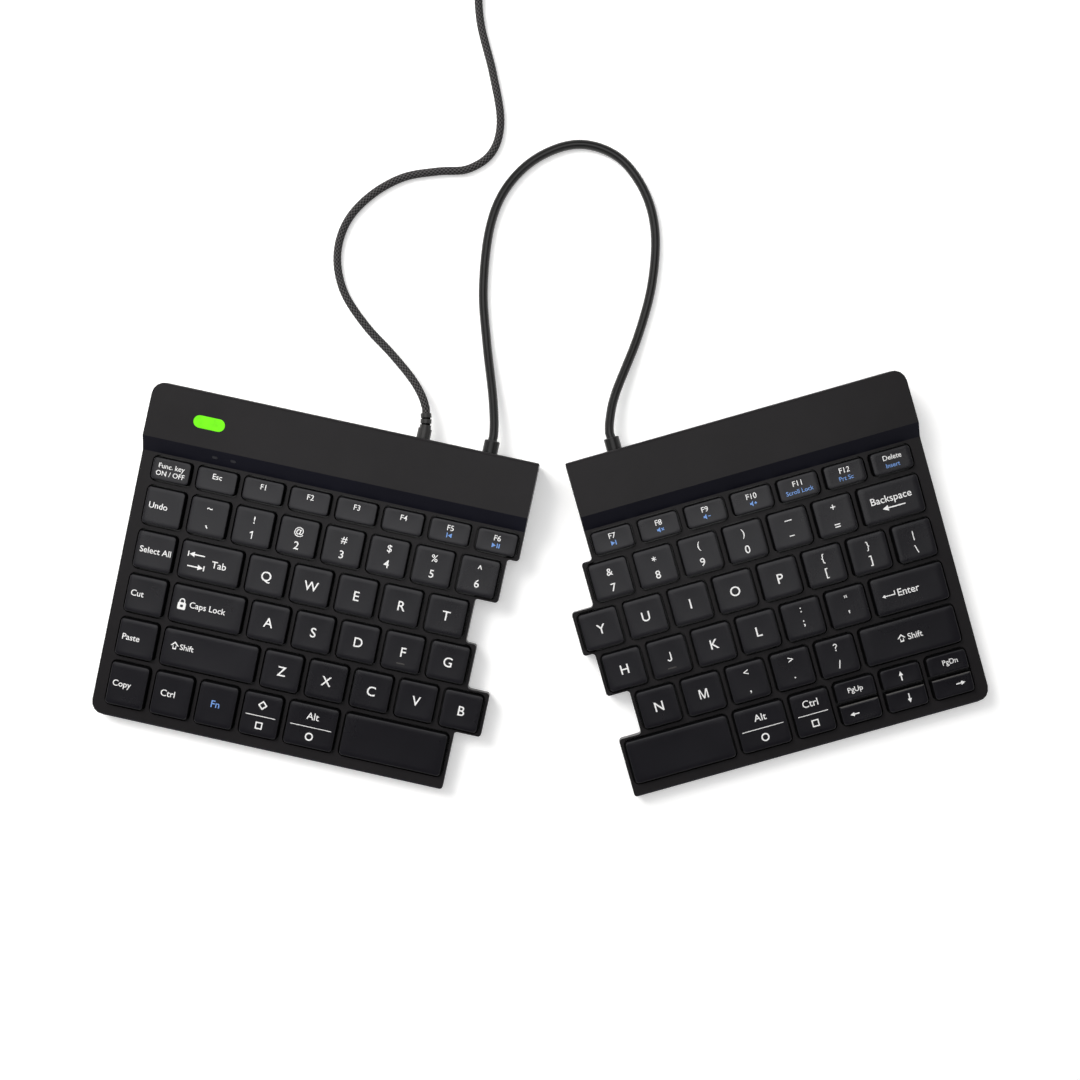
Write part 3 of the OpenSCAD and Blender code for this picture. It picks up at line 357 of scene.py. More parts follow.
def mesh_from(name, bm, sharp_from=None):
    """Turns a bmesh into a mesh with outward normals; edges from so many degrees stay sharp."""
    bmesh.ops.recalc_face_normals(bm, faces=bm.faces)
    if sharp_from is not None:
        limit = radians(sharp_from)
        for face in bm.faces:
            face.smooth = True
        for edge in bm.edges:
            edge.smooth = len(edge.link_faces) == 2 and edge.calc_face_angle(0) < limit
    mesh = bpy.data.meshes.new(name)
    bm.to_mesh(mesh)
    bm.free()
    return mesh


def weighted(piece):
    """Flat faces keep flat shading beside their rounded edges."""
    piece.modifiers.new("weighted", "WEIGHTED_NORMAL").keep_sharp = True
    return piece


def bridge(bm, low, high):
    """Faces between two rings of equal count."""
    following = [*range(1, len(low)), 0]
    return [bm.faces.new((low[k], low[j], high[j], high[k])) for k, j in enumerate(following)]


def loft(bm, rings, closed=True):
    """Faces through rings of equal count; closed ends have one face each."""
    rows = [[bm.verts.new(p) for p in ring] for ring in rings]
    for low, high in zip(rows, rows[1:]):
        bridge(bm, low, high)
    if closed:
        bm.faces.new(rows[0][::-1])
        bm.faces.new(rows[-1])


def round_rect(width, depth, radius, steps=6, along=1):
    """Points of a rounded rectangle about the origin, counter-clockwise, with its sides in parts.

    The radius is one number, or a pair for the rear and the front corners.
    """
    rear, front = radius if isinstance(radius, tuple) else (radius, radius)
    corners = []
    quarters = ((1, 1, rear), (-1, 1, rear), (-1, -1, front), (1, -1, front))
    for quarter, (to_x, to_y, wanted) in enumerate(quarters):
        r = min(wanted, width / 2, depth / 2)
        middle = Vector((to_x * (width / 2 - r), to_y * (depth / 2 - r)))
        angles = [(quarter + k / steps) * pi / 2 for k in range(steps + 1)]
        corners.append([middle + r * Vector((cos(a), sin(a))) for a in angles])
    points = []
    for arc, following in zip(corners, corners[1:] + corners[:1]):
        points += arc
        points += [arc[-1].lerp(following[0], k / along) for k in range(1, along)]
    return [tuple(p) for p in points]


WELD = 2e-6


def welded(node):
    """A node's mesh as a bmesh with its seams closed."""
    bm = bmesh.new()
    bm.from_mesh(NODES[node].data)
    bmesh.ops.remove_doubles(bm, verts=bm.verts, dist=WELD)
    return bm


def islands(bm):
    """Groups of faces that hang together, in the order of the mesh."""
    left = set(bm.faces)
    groups = []
    for first in bm.faces:
        if first not in left:
            continue
        left.remove(first)
        todo = [first]
        group = []
        while todo:
            face = todo.pop()
            group.append(face)
            for edge in face.edges:
                for other in edge.link_faces:
                    if other in left:
                        left.remove(other)
                        todo.append(other)
        groups.append(group)
    return groups


# Cords. The routes repeat the points of the part's source
LINK_DIAMETER = 3.8
LEAD_DIAMETER = 3.3
LINK_Z = LINK_DIAMETER / 2
LEAD_Z = LEAD_DIAMETER / 2
REAR_MIDDLE = (6.2739, 50.0115)
COIL_LOW = 2.65
COIL_HIGH = 6.55
COIL_OUTER = 28.75
COIL_INNER = 9.25
COIL_PITCH = 3.9
TURNS_IN = 5
CLIMB_TURNS = 0.5
TURNS_OUT = 4.75
PLUG_HEIGHT = 4.0
LEAD_STEP = 6.0


def on_table(points, level):
    """Points counted from midway between the inner rear corners; a third number is a height."""
    x, y = REAR_MIDDLE
    return [(x + p[0], y + p[1], p[2] if len(p) > 2 else level) for p in points]


LINK_TIPS = {"left": (-18.5762, 59.8739, 8), "right": (30.4852, 61.0551, 8)}
LEAD_TIP = (-46.1234, 71.2039, 8)
RELIEF_BEND = radians(15)
STRAIGHT_RUN = 2.4


def straight_out(tip, turn):
    """Three points straight on from the tip of a collar or of the strain relief."""
    ahead = Vector((-sin(turn), cos(turn), 0))
    return [Vector(tip) + n * STRAIGHT_RUN * ahead for n in (0, 0.5, 1)]


LINK_ROUTE = [
    *straight_out(LINK_TIPS["left"], TURNS["left"]),
    *on_table([
        (-24.2, 18.5, 7), (-25, 30, 5.2), (-27.6, 52, 2.2), (-29, 74), (-26.3, 99),
        (-19.3, 116), (-6.3, 128.5), (10.7, 134), (26.7, 129), (37.7, 115.5),
        (42.7, 98), (41.5, 76), (35.7, 54, 2.2), (26.3, 30, 5.2), (23.8, 19, 7),
    ], LINK_Z),
    *reversed(straight_out(LINK_TIPS["right"], TURNS["right"])),
]
COIL_ENTRY = on_table([(-31.3, 225)], COIL_LOW)[0]
LEAD_ROUTE = [
    *straight_out(LEAD_TIP, TURNS["left"] + RELIEF_BEND),
    *on_table([
        (-54.4, 29, 7), (-58.8, 36.3, 5.5), (-67.4, 46.7, 3), (-78.5, 58.8), (-87.6, 73),
        (-90.3, 88), (-86.3, 102), (-76.3, 113), (-62.8, 120.5), (-48.3, 123),
        (-35.3, 124), (-25.3, 131), (-21.8, 144), (-25, 164), (-30.3, 186),
        (-31.3, 207, COIL_LOW), (-31.3, 219, COIL_LOW), (-31.3, 225, COIL_LOW),
    ], LEAD_Z),
]
COIL_MIDDLE = (COIL_ENTRY[0] + COIL_OUTER, COIL_ENTRY[1] + LEAD_DIAMETER)


def coil_point(s):
    """A point of the stored coil after s turns: inward, up a layer, outward above."""
    x = s - TURNS_IN
    if x <= 0:
        radius = COIL_OUTER - COIL_PITCH * s
    elif x <= CLIMB_TURNS:
        radius = COIL_INNER - COIL_PITCH * x * (1 - x / CLIMB_TURNS)
    else:
        radius = COIL_INNER + COIL_PITCH * (x - CLIMB_TURNS)
    t = min(1, max(0, x / CLIMB_TURNS))
    angle = tau * s
    return (
        COIL_MIDDLE[0] - radius * cos(angle),
        COIL_MIDDLE[1] + radius * sin(angle),
        COIL_LOW + (COIL_HIGH - COIL_LOW) * t * t * (3 - 2 * t),
    )


ALL_TURNS = TURNS_IN + CLIMB_TURNS + TURNS_OUT
COIL_END = Vector(coil_point(ALL_TURNS))
PLUG_FACE = Vector((COIL_END.x + 5 * LEAD_STEP + LEAD_DIAMETER, COIL_END.y, PLUG_HEIGHT))


def smoothed(route, parts):
    """A Catmull-Rom curve through the route's points."""
    points = [Vector(p) for p in route]
    ends = [2 * points[0] - points[1], *points, 2 * points[-1] - points[-2]]
    curve = []
    for a, b, c, d in zip(ends, ends[1:], ends[2:], ends[3:]):
        for k in range(parts):
            t = k / parts
            curve.append(0.5 * (
                2 * b + (c - a) * t + (2 * a - 5 * b + 4 * c - d) * t ** 2
                + (3 * b - a - 3 * c + d) * t ** 3
            ))
    return [*curve, points[-1]]


def spaced(points, step):
    """The same line with points at equal steps."""
    lengths = [0.0]
    for a, b in zip(points, points[1:]):
        lengths.append(lengths[-1] + (b - a).length)
    count = max(2, round(lengths[-1] / step))
    line = []
    i = 0
    for k in range(count + 1):
        want = lengths[-1] * k / count
        while i < len(points) - 2 and lengths[i + 1] < want:
            i += 1
        share = (want - lengths[i]) / (lengths[i + 1] - lengths[i])
        line.append(points[i].lerp(points[i + 1], min(1, share)))
    return line, lengths[-1]


def tube(name, line, radius, sides, relief=0.0):
    """A tube along a line, mapped by length in metres and turns; relief lifts every other vertex."""
    bm = bmesh.new()
    layer = bm.loops.layers.uv.new("cord")
    rows = []
    along = [0.0]
    for i, p in enumerate(line):
        ahead = (line[min(i + 1, len(line) - 1)] - line[max(i - 1, 0)]).normalized()
        across = ahead.cross(Vector((0, 0, 1))).normalized()
        up = across.cross(ahead)
        row = []
        for k in range(sides):
            angle = tau * k / sides
            lift = radius + (relief if (i + k) % 2 else -relief)
            row.append(bm.verts.new(p + lift * (across * cos(angle) + up * sin(angle))))
        rows.append(row)
        if i:
            along.append(along[-1] + (p - line[i - 1]).length)
    for i, (low, high) in enumerate(zip(rows, rows[1:])):
        for k, face in enumerate(bridge(bm, low, high)):
            corners = ((i, k), (i, k + 1), (i + 1, k + 1), (i + 1, k))
            for loop, (u, v) in zip(face.loops, corners):
                loop[layer].uv = (along[u], v / sides)
    bm.faces.new(rows[0][::-1])
    bm.faces.new(rows[-1])
    return mesh_from(name, bm, sharp_from=60)


LINK_SIDES = 20
LINK_RING = 2.0
BRAID_RELIEF = 0.05
ROUTE_PARTS = 8
COIL_RINGS = 48


def metres(points, least):
    """Points in metres, none lower than the least height."""
    return [Vector((x, y, max(z, least))) * MM for x, y, z in points]


def make_link_cable():
    line, length = spaced(metres(smoothed(LINK_ROUTE, ROUTE_PARTS), LINK_Z), LINK_RING * MM)
    mesh = tube("link_cable_sheath", line, LINK_Z * MM, LINK_SIDES)
    cable = add_piece(mesh, None, SHEATH, slot="sheath", replaces=["link_cable"])
    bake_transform(cable)


def lead_line():
    turns = [coil_point(n / COIL_RINGS) for n in range(int(ALL_TURNS * COIL_RINGS) + 1)]
    away = [COIL_END + Vector((k * LEAD_STEP, 0, 0)) for k in (1, 2, 3)]
    fall = Vector((COIL_END.x + 4 * LEAD_STEP, COIL_END.y, (COIL_HIGH + PLUG_HEIGHT) / 2))
    tail = [*away, fall, PLUG_FACE - Vector((LEAD_DIAMETER, 0, 0)), PLUG_FACE]
    points = [*smoothed(LEAD_ROUTE, ROUTE_PARTS), *turns[1:], *smoothed([COIL_END, *tail], 4)[1:]]
    return metres(points, LEAD_Z + BRAID_RELIEF)


def make_lead():
    line, length = spaced(lead_line(), LEAD_RING * MM)
    mesh = tube("usb_lead_sleeve", line, LEAD_Z * MM, LEAD_SIDES, BRAID_RELIEF * MM)
    lead = add_piece(mesh, "left_half", BRAID, slot="braid", replaces=["usb_cord", "usb_coil"])


# Plug and strap at the end of the lead
SLEEVE_LENGTH = 6.0
GRIP_SIZE = (24.0, 15.5, 8.0)
GRIP_CORNER = 2.2
SHELL_LENGTH = 18.5
SHELL_WIDTH = 12.0
SHELL_WALL = 0.35
SHELL_EDGE = 0.12 * MM
TONGUE_INSET = 1.5
TONGUE_HEIGHT = 1.675
TONGUE_ROOT = 0.5
TONGUE_PLAY = 0.2
TONGUE_RISE = 0.1
TONGUE_CORNER = 0.2

# Profiles along the plug: distance and share of the waist, or distance and inset
SLEEVE_WAIST = 1.95
SLEEVE_PROFILE = (
    (0, 1.0), (1.2, 1.3), (1.6, 0.95), (2.6, 0.98), (3.0, 1.35), (4.2, 1.38), (4.6, 1.05), (6.4, 1.05),
)
GRIP_PROFILE = ((0, 1.0), (0.3, 0.4), (1.0, 0.05), (2.0, 0.0))
GROOVE_PROFILE = ((0, 0.0), (0.3, 0.45), (1.1, 0.45), (1.4, 0.0))
GROOVE_STARTS = (6, 9, 12)


def along_x(x, outline):
    """A flat outline stood across the plug at a distance from the lead's end."""
    return [(PLUG_FACE + Vector((x, -a, b))) * MM for a, b in outline]


def make_plug():
    """The grip with its bend sleeve and grooves, and the tongue inside the shell."""
    bm = bmesh.new()
    length, width, height = GRIP_SIZE
    rings = []
    for x, share in SLEEVE_PROFILE:
        radius = SLEEVE_WAIST * share
        rings.append(along_x(x, round_rect(2 * radius, 2 * radius, radius)))
    loft(bm, rings)
    body = [(SLEEVE_LENGTH + x, inset) for x, inset in GRIP_PROFILE]
    for start in GROOVE_STARTS:
        body += [(SLEEVE_LENGTH + start + x, inset) for x, inset in GROOVE_PROFILE]
    body += [(SLEEVE_LENGTH + length - x, inset) for x, inset in reversed(GRIP_PROFILE)]
    rings = []
    for x, inset in body:
        outline = round_rect(width - 2 * inset, height - 2 * inset, GRIP_CORNER)
        rings.append(along_x(x, outline))
    loft(bm, rings)
    start = SLEEVE_LENGTH + length - TONGUE_ROOT
    tongue_width = SHELL_WIDTH - 2 * SHELL_WALL - TONGUE_PLAY
    tongue = round_rect(tongue_width, TONGUE_HEIGHT, TONGUE_CORNER, steps=2)
    outline = [(a, b + TONGUE_RISE + TONGUE_HEIGHT / 2) for a, b in tongue]
    end = SLEEVE_LENGTH + length + SHELL_LENGTH - TONGUE_INSET
    loft(bm, [along_x(start, outline), along_x(end, outline)])
    mesh = mesh_from("usb_plug_grip", bm, sharp_from=35)
    grip = add_piece(mesh, "left_half", GRIP, slot="plug_grip", replaces=["usb_plug_body"])
    return weighted(grip)


STRAP_WIDTH = 8.0
STRAP_THICKNESS = 0.6
STRAP_CORNER = 1.6


def make_strap():
    """The loop of the coil's tie, with rounded corners."""
    low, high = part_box("coil_tie")
    middle = (low + high) / 2
    width = high.x - low.x
    height = high.z - low.z
    thick = STRAP_THICKNESS * MM
    half = STRAP_WIDTH * MM / 2
    bm = bmesh.new()
    outer = round_rect(width, height, STRAP_CORNER * MM)
    inner = round_rect(width - 2 * thick, height - 2 * thick, (STRAP_CORNER - STRAP_THICKNESS) * MM)
    loops = []
    for outline, y in ((outer, half), (outer, -half), (inner, -half), (inner, half)):
        loops.append([bm.verts.new(middle + Vector((x, y, z))) for x, z in outline])
    for low_loop, high_loop in zip(loops, loops[1:] + loops[:1]):
        bridge(bm, low_loop, high_loop)
    mesh = mesh_from("coil_strap", bm, sharp_from=40)
    return add_piece(mesh, "left_half", STRAP, slot="strap", replaces=["coil_tie"])


BEVEL_ANGLE = radians(28)
FLAT_ANGLE = radians(0.4)


def bevelled(bm, width, wanted):
    """Rounds the sharp edges that are wanted."""
    sharp = [
        e for e in bm.edges
        if len(e.link_faces) == 2 and e.calc_face_angle(0) > BEVEL_ANGLE and wanted(e)
    ]
    bmesh.ops.bevel(
        bm, geom=sharp, offset=width, segments=2, profile=0.5, affect="EDGES",
        clamp_overlap=True, loop_slide=True,
    )


def dress(node, body, material, slot, width, wanted=lambda edge: True):
    """A copy of a rigid node with rounded edges, which stands for the node."""
    bm = welded(node)
    bmesh.ops.dissolve_limit(bm, angle_limit=FLAT_ANGLE, verts=bm.verts, edges=bm.edges)
    bevelled(bm, width, wanted)
    mesh = mesh_from(node + "_look", bm, sharp_from=50)
    return weighted(add_piece(mesh, body, material, slot=slot, replaces=[node]))


plug = make_plug()
shell = dress("usb_plug_shell", "left_half", PLATED, "plug_shell", SHELL_EDGE)
strap = make_strap()
make_link_cable()
make_lead()


# Housings
CASE_EDGE = 0.15 * MM
TRAY_EDGE = 0.35 * MM
SEAM_HEIGHT = 3.7 * MM
# Masks for painted shade: walls next to a key hole, and the slope that faces the front.
HOLE_REACH = 1.0 * MM
SLOPE_LEAN = 0.45
SLOPE_RISE = 0.6
WALL_RISE = 0.4
SLOPE_SHADE_FACE, HOLE_SHADE_FACE = 1, 2


def above_seam(edge):
    return sum(v.co.z for v in edge.verts) / 2 > SEAM_HEIGHT


def make_housings(keys):
    """The cases; the slope before the bar and the walls of the key holes get darker colours of their own,
    painted shade.
    """
    for side, body in BODIES.items():
        top = dress(side + "_top_case", body, CASE, "case", CASE_EDGE, above_seam)
        top.data.materials.append(SLOPE_SHADE)
        top.data.materials.append(HOLE_SHADE)
        to_deck = DECKS[side].inverted()
        caps = [key for row in keys.values() for key in row if key.side == side]
        for polygon in top.data.polygons:
            normal = to_deck.to_3x3() @ polygon.normal
            # The slope that faces the front gets painted shade.
            if normal.y < -SLOPE_LEAN and normal.z > SLOPE_RISE:
                polygon.material_index = SLOPE_SHADE_FACE
            # Walls of the key holes get painted shade.
            elif abs(normal.z) < WALL_RISE:
                inward = to_deck @ polygon.center + HOLE_REACH * normal
                if any(cap.holds(inward) for cap in caps):
                    polygon.material_index = HOLE_SHADE_FACE
        dress(side + "_bottom_case", body, TRAY, "tray", TRAY_EDGE)


# Plain nodes keep their solids and get a finish
FINISHES = {
    "controller_board": BOARD, "link_board": BOARD,
    "indicator_lens": LAMP, "status_lenses": STATUS, "usb_strain_relief": RELIEF,
}
PAIRED = {"key_plate": STEEL, "membrane": FILM, "feet": RUBBER, "screws": STEEL, "link_relief": COLLAR}
for side in BODIES:
    FINISHES.update({f"{side}_{kind}": finish for kind, finish in PAIRED.items()})
for name, finish in FINISHES.items():
    NODES[name].data.materials.clear()
    NODES[name].data.materials.append(finish)


# Painted shade in the grooves of the strain relief, along the mean direction of its bent end
GROOVE_REACH = 2.05 * MM
RIB_RUN = 6.4 * MM
GROOVE_LEAN = 0.5
GROOVE_SHADE_FACE = 1
RIBS_TURN = TURNS["left"] + RELIEF_BEND * 2 / 3


def paint_groove_shade():
    """Paints shade on the faces behind the tip that are nearer the axis than the ribs and look away from
    it.
    """
    mesh = NODES["usb_strain_relief"].data
    mesh.materials.append(GROOVE_SHADE)
    ahead = Vector((-sin(RIBS_TURN), cos(RIBS_TURN), 0))
    tip = Vector(LEAD_TIP) * MM
    for polygon in mesh.polygons:
        offset = polygon.center - tip
        along = offset.dot(ahead)
        near = (offset - along * ahead).length < GROOVE_REACH
        if near and -RIB_RUN < along < 0 and abs(polygon.normal.dot(ahead)) < GROOVE_LEAN:
            polygon.material_index = GROOVE_SHADE_FACE


paint_groove_shade()


# Keys
CAP_CORNER = 1.6 * MM
HALF_KEY_CORNER = 0.4 * MM
LEAST_CORNER = 0.1 * MM
REAR_HALVES = ("page_up_key", "up_arrow_key", "page_down_key")
FRONT_HALVES = ("left_arrow_key", "down_arrow_key", "right_arrow_key")
CAP_EDGE = 0.38 * MM
# Cap faces steeper than this get the painted shade of the sides.
SKIRT_RISE = 0.6
# Rear slopes of lower half-depth caps that lean more than this get a painted highlight.
RIM_LEAN = 0.25
CAP_DRAFT = 0.28 * MM
STRIP_SLOPE = tan(radians(23))
STRIP_REACH = 0.15 * MM
CAP_WALL = 1.0 * MM
CAP_TOP = 1.1 * MM
CAP_DISH = 0.12 * MM
EDGE_STEPS = 4
SIDE_STEPS = 6
TOP_RINGS = (0.8, 0.6, 0.4, 0.2)
SKIRT_SHADE_FACE, RIM_HIGHLIGHT_FACE = 1, 2
COLUMN_SPREAD = 3 * MM


class Key:
    """One cap of a node, placed in its deck's own axes."""

    def __init__(self, node, side, points):
        self.node = node
        self.side = side
        low = Vector([min(p[k] for p in points) for k in range(3)])
        high = Vector([max(p[k] for p in points) for k in range(3)])
        self.middle = (low + high) / 2
        self.width = high.x - low.x
        self.depth = high.y - low.y
        self.floor = low.z
        self.top = high.z

    def holds(self, point):
        return (
            abs(point.x - self.middle.x) < self.width / 2
            and abs(point.y - self.middle.y) < self.depth / 2
        )

    def level(self, x, y):
        """Height of the dished top at a point counted from the middle of the cap."""
        u = min(1, abs(2 * x / self.width))
        v = min(1, abs(2 * y / self.depth))
        return self.top - CAP_DISH * (1 - u * u) * (1 - v * v)

    def corners(self, inset):
        """Radii of the rear and front corners; those where two half-depth caps face are nearly square."""
        rear = HALF_KEY_CORNER if self.node in FRONT_HALVES else CAP_CORNER
        front = HALF_KEY_CORNER if self.node in REAR_HALVES else CAP_CORNER
        return max(LEAST_CORNER, rear - inset), max(LEAST_CORNER, front - inset)

    def place(self, x, y, z):
        return DECKS[self.side] @ Vector((self.middle.x + x, self.middle.y + y, z))

    def on_top(self, x, y, rise=0):
        return self.place(x, y, self.level(x, y) + rise)


def find_keys():
    """All caps by node, left to right; a column of one node goes from rear to front."""
    found = {}
    for joint in frame["joints"]:
        if joint["type"] != "slide":
            continue
        node = joint["child"]
        side = joint["parent"].split("_")[0]
        inverse = DECKS[side].inverted()
        bm = welded(node)
        keys = []
        for group in islands(bm):
            points = [inverse @ v.co for face in group for v in face.verts]
            keys.append(Key(node, side, points))
        bm.free()
        across = [key.middle.x for key in keys]
        column = max(across) - min(across) < COLUMN_SPREAD
        keys.sort(key=lambda key: -key.middle.y if column else key.middle.x)
        found[node] = keys
    return found


def cap_rings(key):
    """Rings of a cap from its hollow underside, round the skirt and up to the dished top.

    The edge is rounded, but the rear edge of a lower half-depth cap is a flat slope.
    """
    width, depth = key.width, key.depth
    ceiling = key.top - CAP_TOP
    rings = []
    for inset, z in ((CAP_WALL, ceiling), (CAP_WALL, key.floor), (0, key.floor)):
        outline = round_rect(width - 2 * inset, depth - 2 * inset, key.corners(inset), along=SIDE_STEPS)
        rings.append([key.place(x, y, z) for x, y in outline])
    for k in range(EDGE_STEPS + 1):
        angle = pi / 2 * k / EDGE_STEPS
        inset = CAP_DRAFT + CAP_EDGE * (1 - cos(angle))
        drop = CAP_EDGE * (1 - sin(angle))
        strip = STRIP_SLOPE * CAP_EDGE * cos(angle)
        corners = key.corners(inset / 2)
        outline = round_rect(width - 2 * inset, depth - 2 * inset, corners, along=SIDE_STEPS)
        sloped = depth / 2 - inset - STRIP_REACH if key.node in FRONT_HALVES else depth
        drops = [strip if y > sloped else drop for x, y in outline]
        rings.append([key.on_top(x, y, -fall) for (x, y), fall in zip(outline, drops)])
    for share in TOP_RINGS:
        rings.append([key.on_top(share * x, share * y) for x, y in outline])
    return rings


HOMING_KEYS = {"left_home_letter_keys": 3, "right_home_letter_keys": 1}
HOMING_SIZE = (3.6 * MM, 0.5 * MM)
HOMING_RISE = 0.25 * MM
HOMING_PROFILE = ((0, -0.1 * MM), (0, 0.6 * HOMING_RISE), (0.12 * MM, HOMING_RISE))
HOMING_DROP = 4.8 * MM


def add_homing_bar(bm, key):
    """The bar under a finger's home key, in the paler colour of the rims, a painted highlight."""
    width, depth = HOMING_SIZE
    base = key.level(0, -HOMING_DROP)
    others = set(bm.faces)
    rings = []
    for inset, rise in HOMING_PROFILE:
        outline = round_rect(width - 2 * inset, depth - 2 * inset, depth / 2)
        rings.append([key.place(x, y - HOMING_DROP, base + rise) for x, y in outline])
    loft(bm, rings)
    for face in set(bm.faces) - others:
        face.material_index = RIM_HIGHLIGHT_FACE


def make_caps(keys):
    """The caps of each node; their sides are painted darker as shade, and the rear slopes of lower
    half-depth caps paler as a painted highlight.
    """
    for node, row in keys.items():
        bm = bmesh.new()
        for n, key in enumerate(row):
            loft(bm, cap_rings(key))
            if HOMING_KEYS.get(node) == n:
                add_homing_bar(bm, key)
        mesh = mesh_from(node + "_caps", bm, sharp_from=42)
        to_deck = DECKS[row[0].side].inverted().to_3x3()
        for polygon in mesh.polygons:
            normal = to_deck @ polygon.normal
            # Painted shade on the steep sides.
            if normal.z < SKIRT_RISE:
                polygon.material_index = SKIRT_SHADE_FACE
            # Painted highlight on the rear slopes of the lower half-depth caps.
            elif node in FRONT_HALVES and normal.y > RIM_LEAN:
                polygon.material_index = RIM_HIGHLIGHT_FACE
        finishes = [CAP, SKIRT_SHADE, RIM_HIGHLIGHT] if node in FRONT_HALVES or node in HOMING_KEYS else [CAP, SKIRT_SHADE]
        add_piece(mesh, node, *finishes, slot="keycap", replaces=[node])


def make_mechanisms(keys):
    """The dome and scissor links under each key, gathered into one piece for each key node."""
    for side, body in BODIES.items():
        inverse = DECKS[side].inverted()
        gathered = {}
        for source, slot in ((side + "_rubber_domes", 0), (side + "_scissors", 1)):
            bm = welded(source)
            for group in islands(bm):
                points = [inverse @ v.co for face in group for v in face.verts]
                middle = sum(points, Vector()) / len(points)
                owner = next(n for n in keys if any(k.side == side and k.holds(middle) for k in keys[n]))
                if owner not in gathered:
                    gathered[owner] = bmesh.new()
                target = gathered[owner]
                copies = {}
                for face in group:
                    for v in face.verts:
                        if v not in copies:
                            copies[v] = target.verts.new(v.co)
                    made = target.faces.new([copies[v] for v in face.verts])
                    made.material_index = slot
            bm.free()
        for node, bm in gathered.items():
            mesh = mesh_from(node + "_mechanism", bm, sharp_from=30)
            piece = add_piece(mesh, body, DOME, LINK_PLASTIC, slot="link_plastic")
            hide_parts(side + "_rubber_domes", side + "_scissors")
            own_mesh(piece)


KEYS = find_keys()
make_housings(KEYS)
make_caps(KEYS)
make_mechanisms(KEYS)


# Legends, printed a hair above the caps
LIFT = 0.02 * MM
SINK = 0.05 * MM
LEGEND_WELD = 1e-7

# Heights of capitals, and heights of lines above the middle of a cap, in millimetres
LETTER, DIGIT, SIGN, WORD, LABEL, SMALL = 3.9, 3.2, 2.9, 2.45, 2.2, 1.75
TAB_WORD, CTRL_WORD, SHIFT_WORD, PAGE_WORD, TIGHT_WORD = 2.8, 2.65, 2.3, 2.1, 2.0
UPPER, LOWER = 2.6, -3.4
FN_UPPER, FN_LOWER = 1.65, -1.45
FN_WORD = FN_LOWER - 0.2
SPLIT_UPPER, SPLIT_LINE, SPLIT_LOWER = 4.2, -0.4, -4.4
SPLIT_HALF = 0.14
WORD_RISE = 0.3
MARGIN = 6.3
STROKE = 0.007
RAISED = {
    "~": 1.4, "`": -0.5, "!": 0.5, "1": 0.3, "#": 0.5, "3": 0.3, "$": 1.0, "4": 0.5, "%": 1.0,
    "5": 0.5, "^": 0.8, "6": 0.5, "&": 0.5, "(": 1.0, ")": 1.0, "_": 0.8, "-": 0.4, "+": 1.1,
    "=": -0.7, "{": 0.8, "[": 0.8, "}": 0.8, "]": 0.8, ":": 1.8, ";": 2.3, '"': 1.6, "*": 0.6,
    "<": 1.2, ",": 0.5, ">": 1.3, ".": 1.0, "?": 1.1,
}
Mark = namedtuple("Mark", "drawing align x y height ink")


def text(words, height, x=0.0, y=0.0, ink=INK, align="CENTER"):
    """Words with a height of capitals in millimetres, placed from the middle of a cap."""
    return Mark(words, align, x, y, height, ink)


def sign(drawing, x=0.0, y=0.0, ink=INK):
    """A drawn sign: a list of outlines, each with or without an opening."""
    return Mark(drawing, None, x, y, None, ink)


def plate(x0, y0, x1, y1):
    return [(x0, y0), (x1, y0), (x1, y1), (x0, y1)]


def bar(x, y):
    """A plate about the origin, from half its sizes."""
    return plate(-x, -y, x, y)


def solid(*outlines):
    """A drawing of outlines without openings."""
    return [(outline, None) for outline in outlines]


def turned(points, degrees):
    cosine = cos(radians(degrees))
    sine = sin(radians(degrees))
    return [(cosine * x - sine * y, sine * x + cosine * y) for x, y in points]


def circle(radius):
    angles = [tau * k / 24 for k in range(24)]
    return [(radius * cos(a), radius * sin(a)) for a in angles]


def arrow(length, degrees, head, thick=0.5):
    """A solid arrow about its middle; at zero degrees it points right."""
    tip, neck = length / 2, length / 2 - head
    wing, half = head / 2, thick / 2
    lower = [(-tip, -half), (neck, -half), (neck, -wing)]
    upper = [(neck, wing), (neck, half), (-tip, half)]
    return turned([*lower, (tip, 0), *upper], degrees)


def moved(points, x, y):
    return [(px + x, py + y) for px, py in points]


def framed(outer, share):
    """An outline with an opening of the same form."""
    return outer, [(share * x, share * y) for x, y in outer]


def band(points, thick):
    """Outline of a stroke along points."""
    line = [Vector(p) for p in points]
    sides = ([], [])
    for before, here, after in zip(line[:1] + line, line, line[1:] + line[-1:]):
        ahead = (after - before).normalized()
        across = Vector((-ahead.y, ahead.x)) * thick / 2
        sides[0].append(tuple(here + across))
        sides[1].append(tuple(here - across))
    return sides[0] + sides[1][::-1]


def question():
    turn = [radians(170 - 20 * k) for k in range(12)]
    hook = [(0.65 * cos(a), 0.75 + 0.65 * sin(a)) for a in turn]
    return solid(band([*hook, (0.02, -0.1), (0, -0.55)], 0.42), plate(-0.24, -1.45, 0.24, -0.98))


def padlock():
    arch = [(cos(pi * k / 10), sin(pi * k / 10)) for k in range(11)]
    shackle = [(1.25 * x, 1.25 * y) for x, y in arch] + [(-1.25, -0.5), (-0.75, -0.5)]
    shackle += [(0.75 * x, 0.75 * y) for x, y in arch[::-1]] + [(0.75, -0.5), (1.25, -0.5)]
    body = framed(round_rect(3.4, 3.0, 0.5, 2), 0.36)
    return [*solid(moved(shackle, 0, 1.1)), tuple(moved(outline, 0, -0.9) for outline in body)]


def letter_j():
    turn = [-0.2 * k for k in range(1, 16)]
    hook = [(0.75 * cos(a) - 0.05, 0.75 * sin(a) - 1.0) for a in turn]
    return solid(band([(0.7, 1.85), (0.7, -0.9), *hook], 0.5))


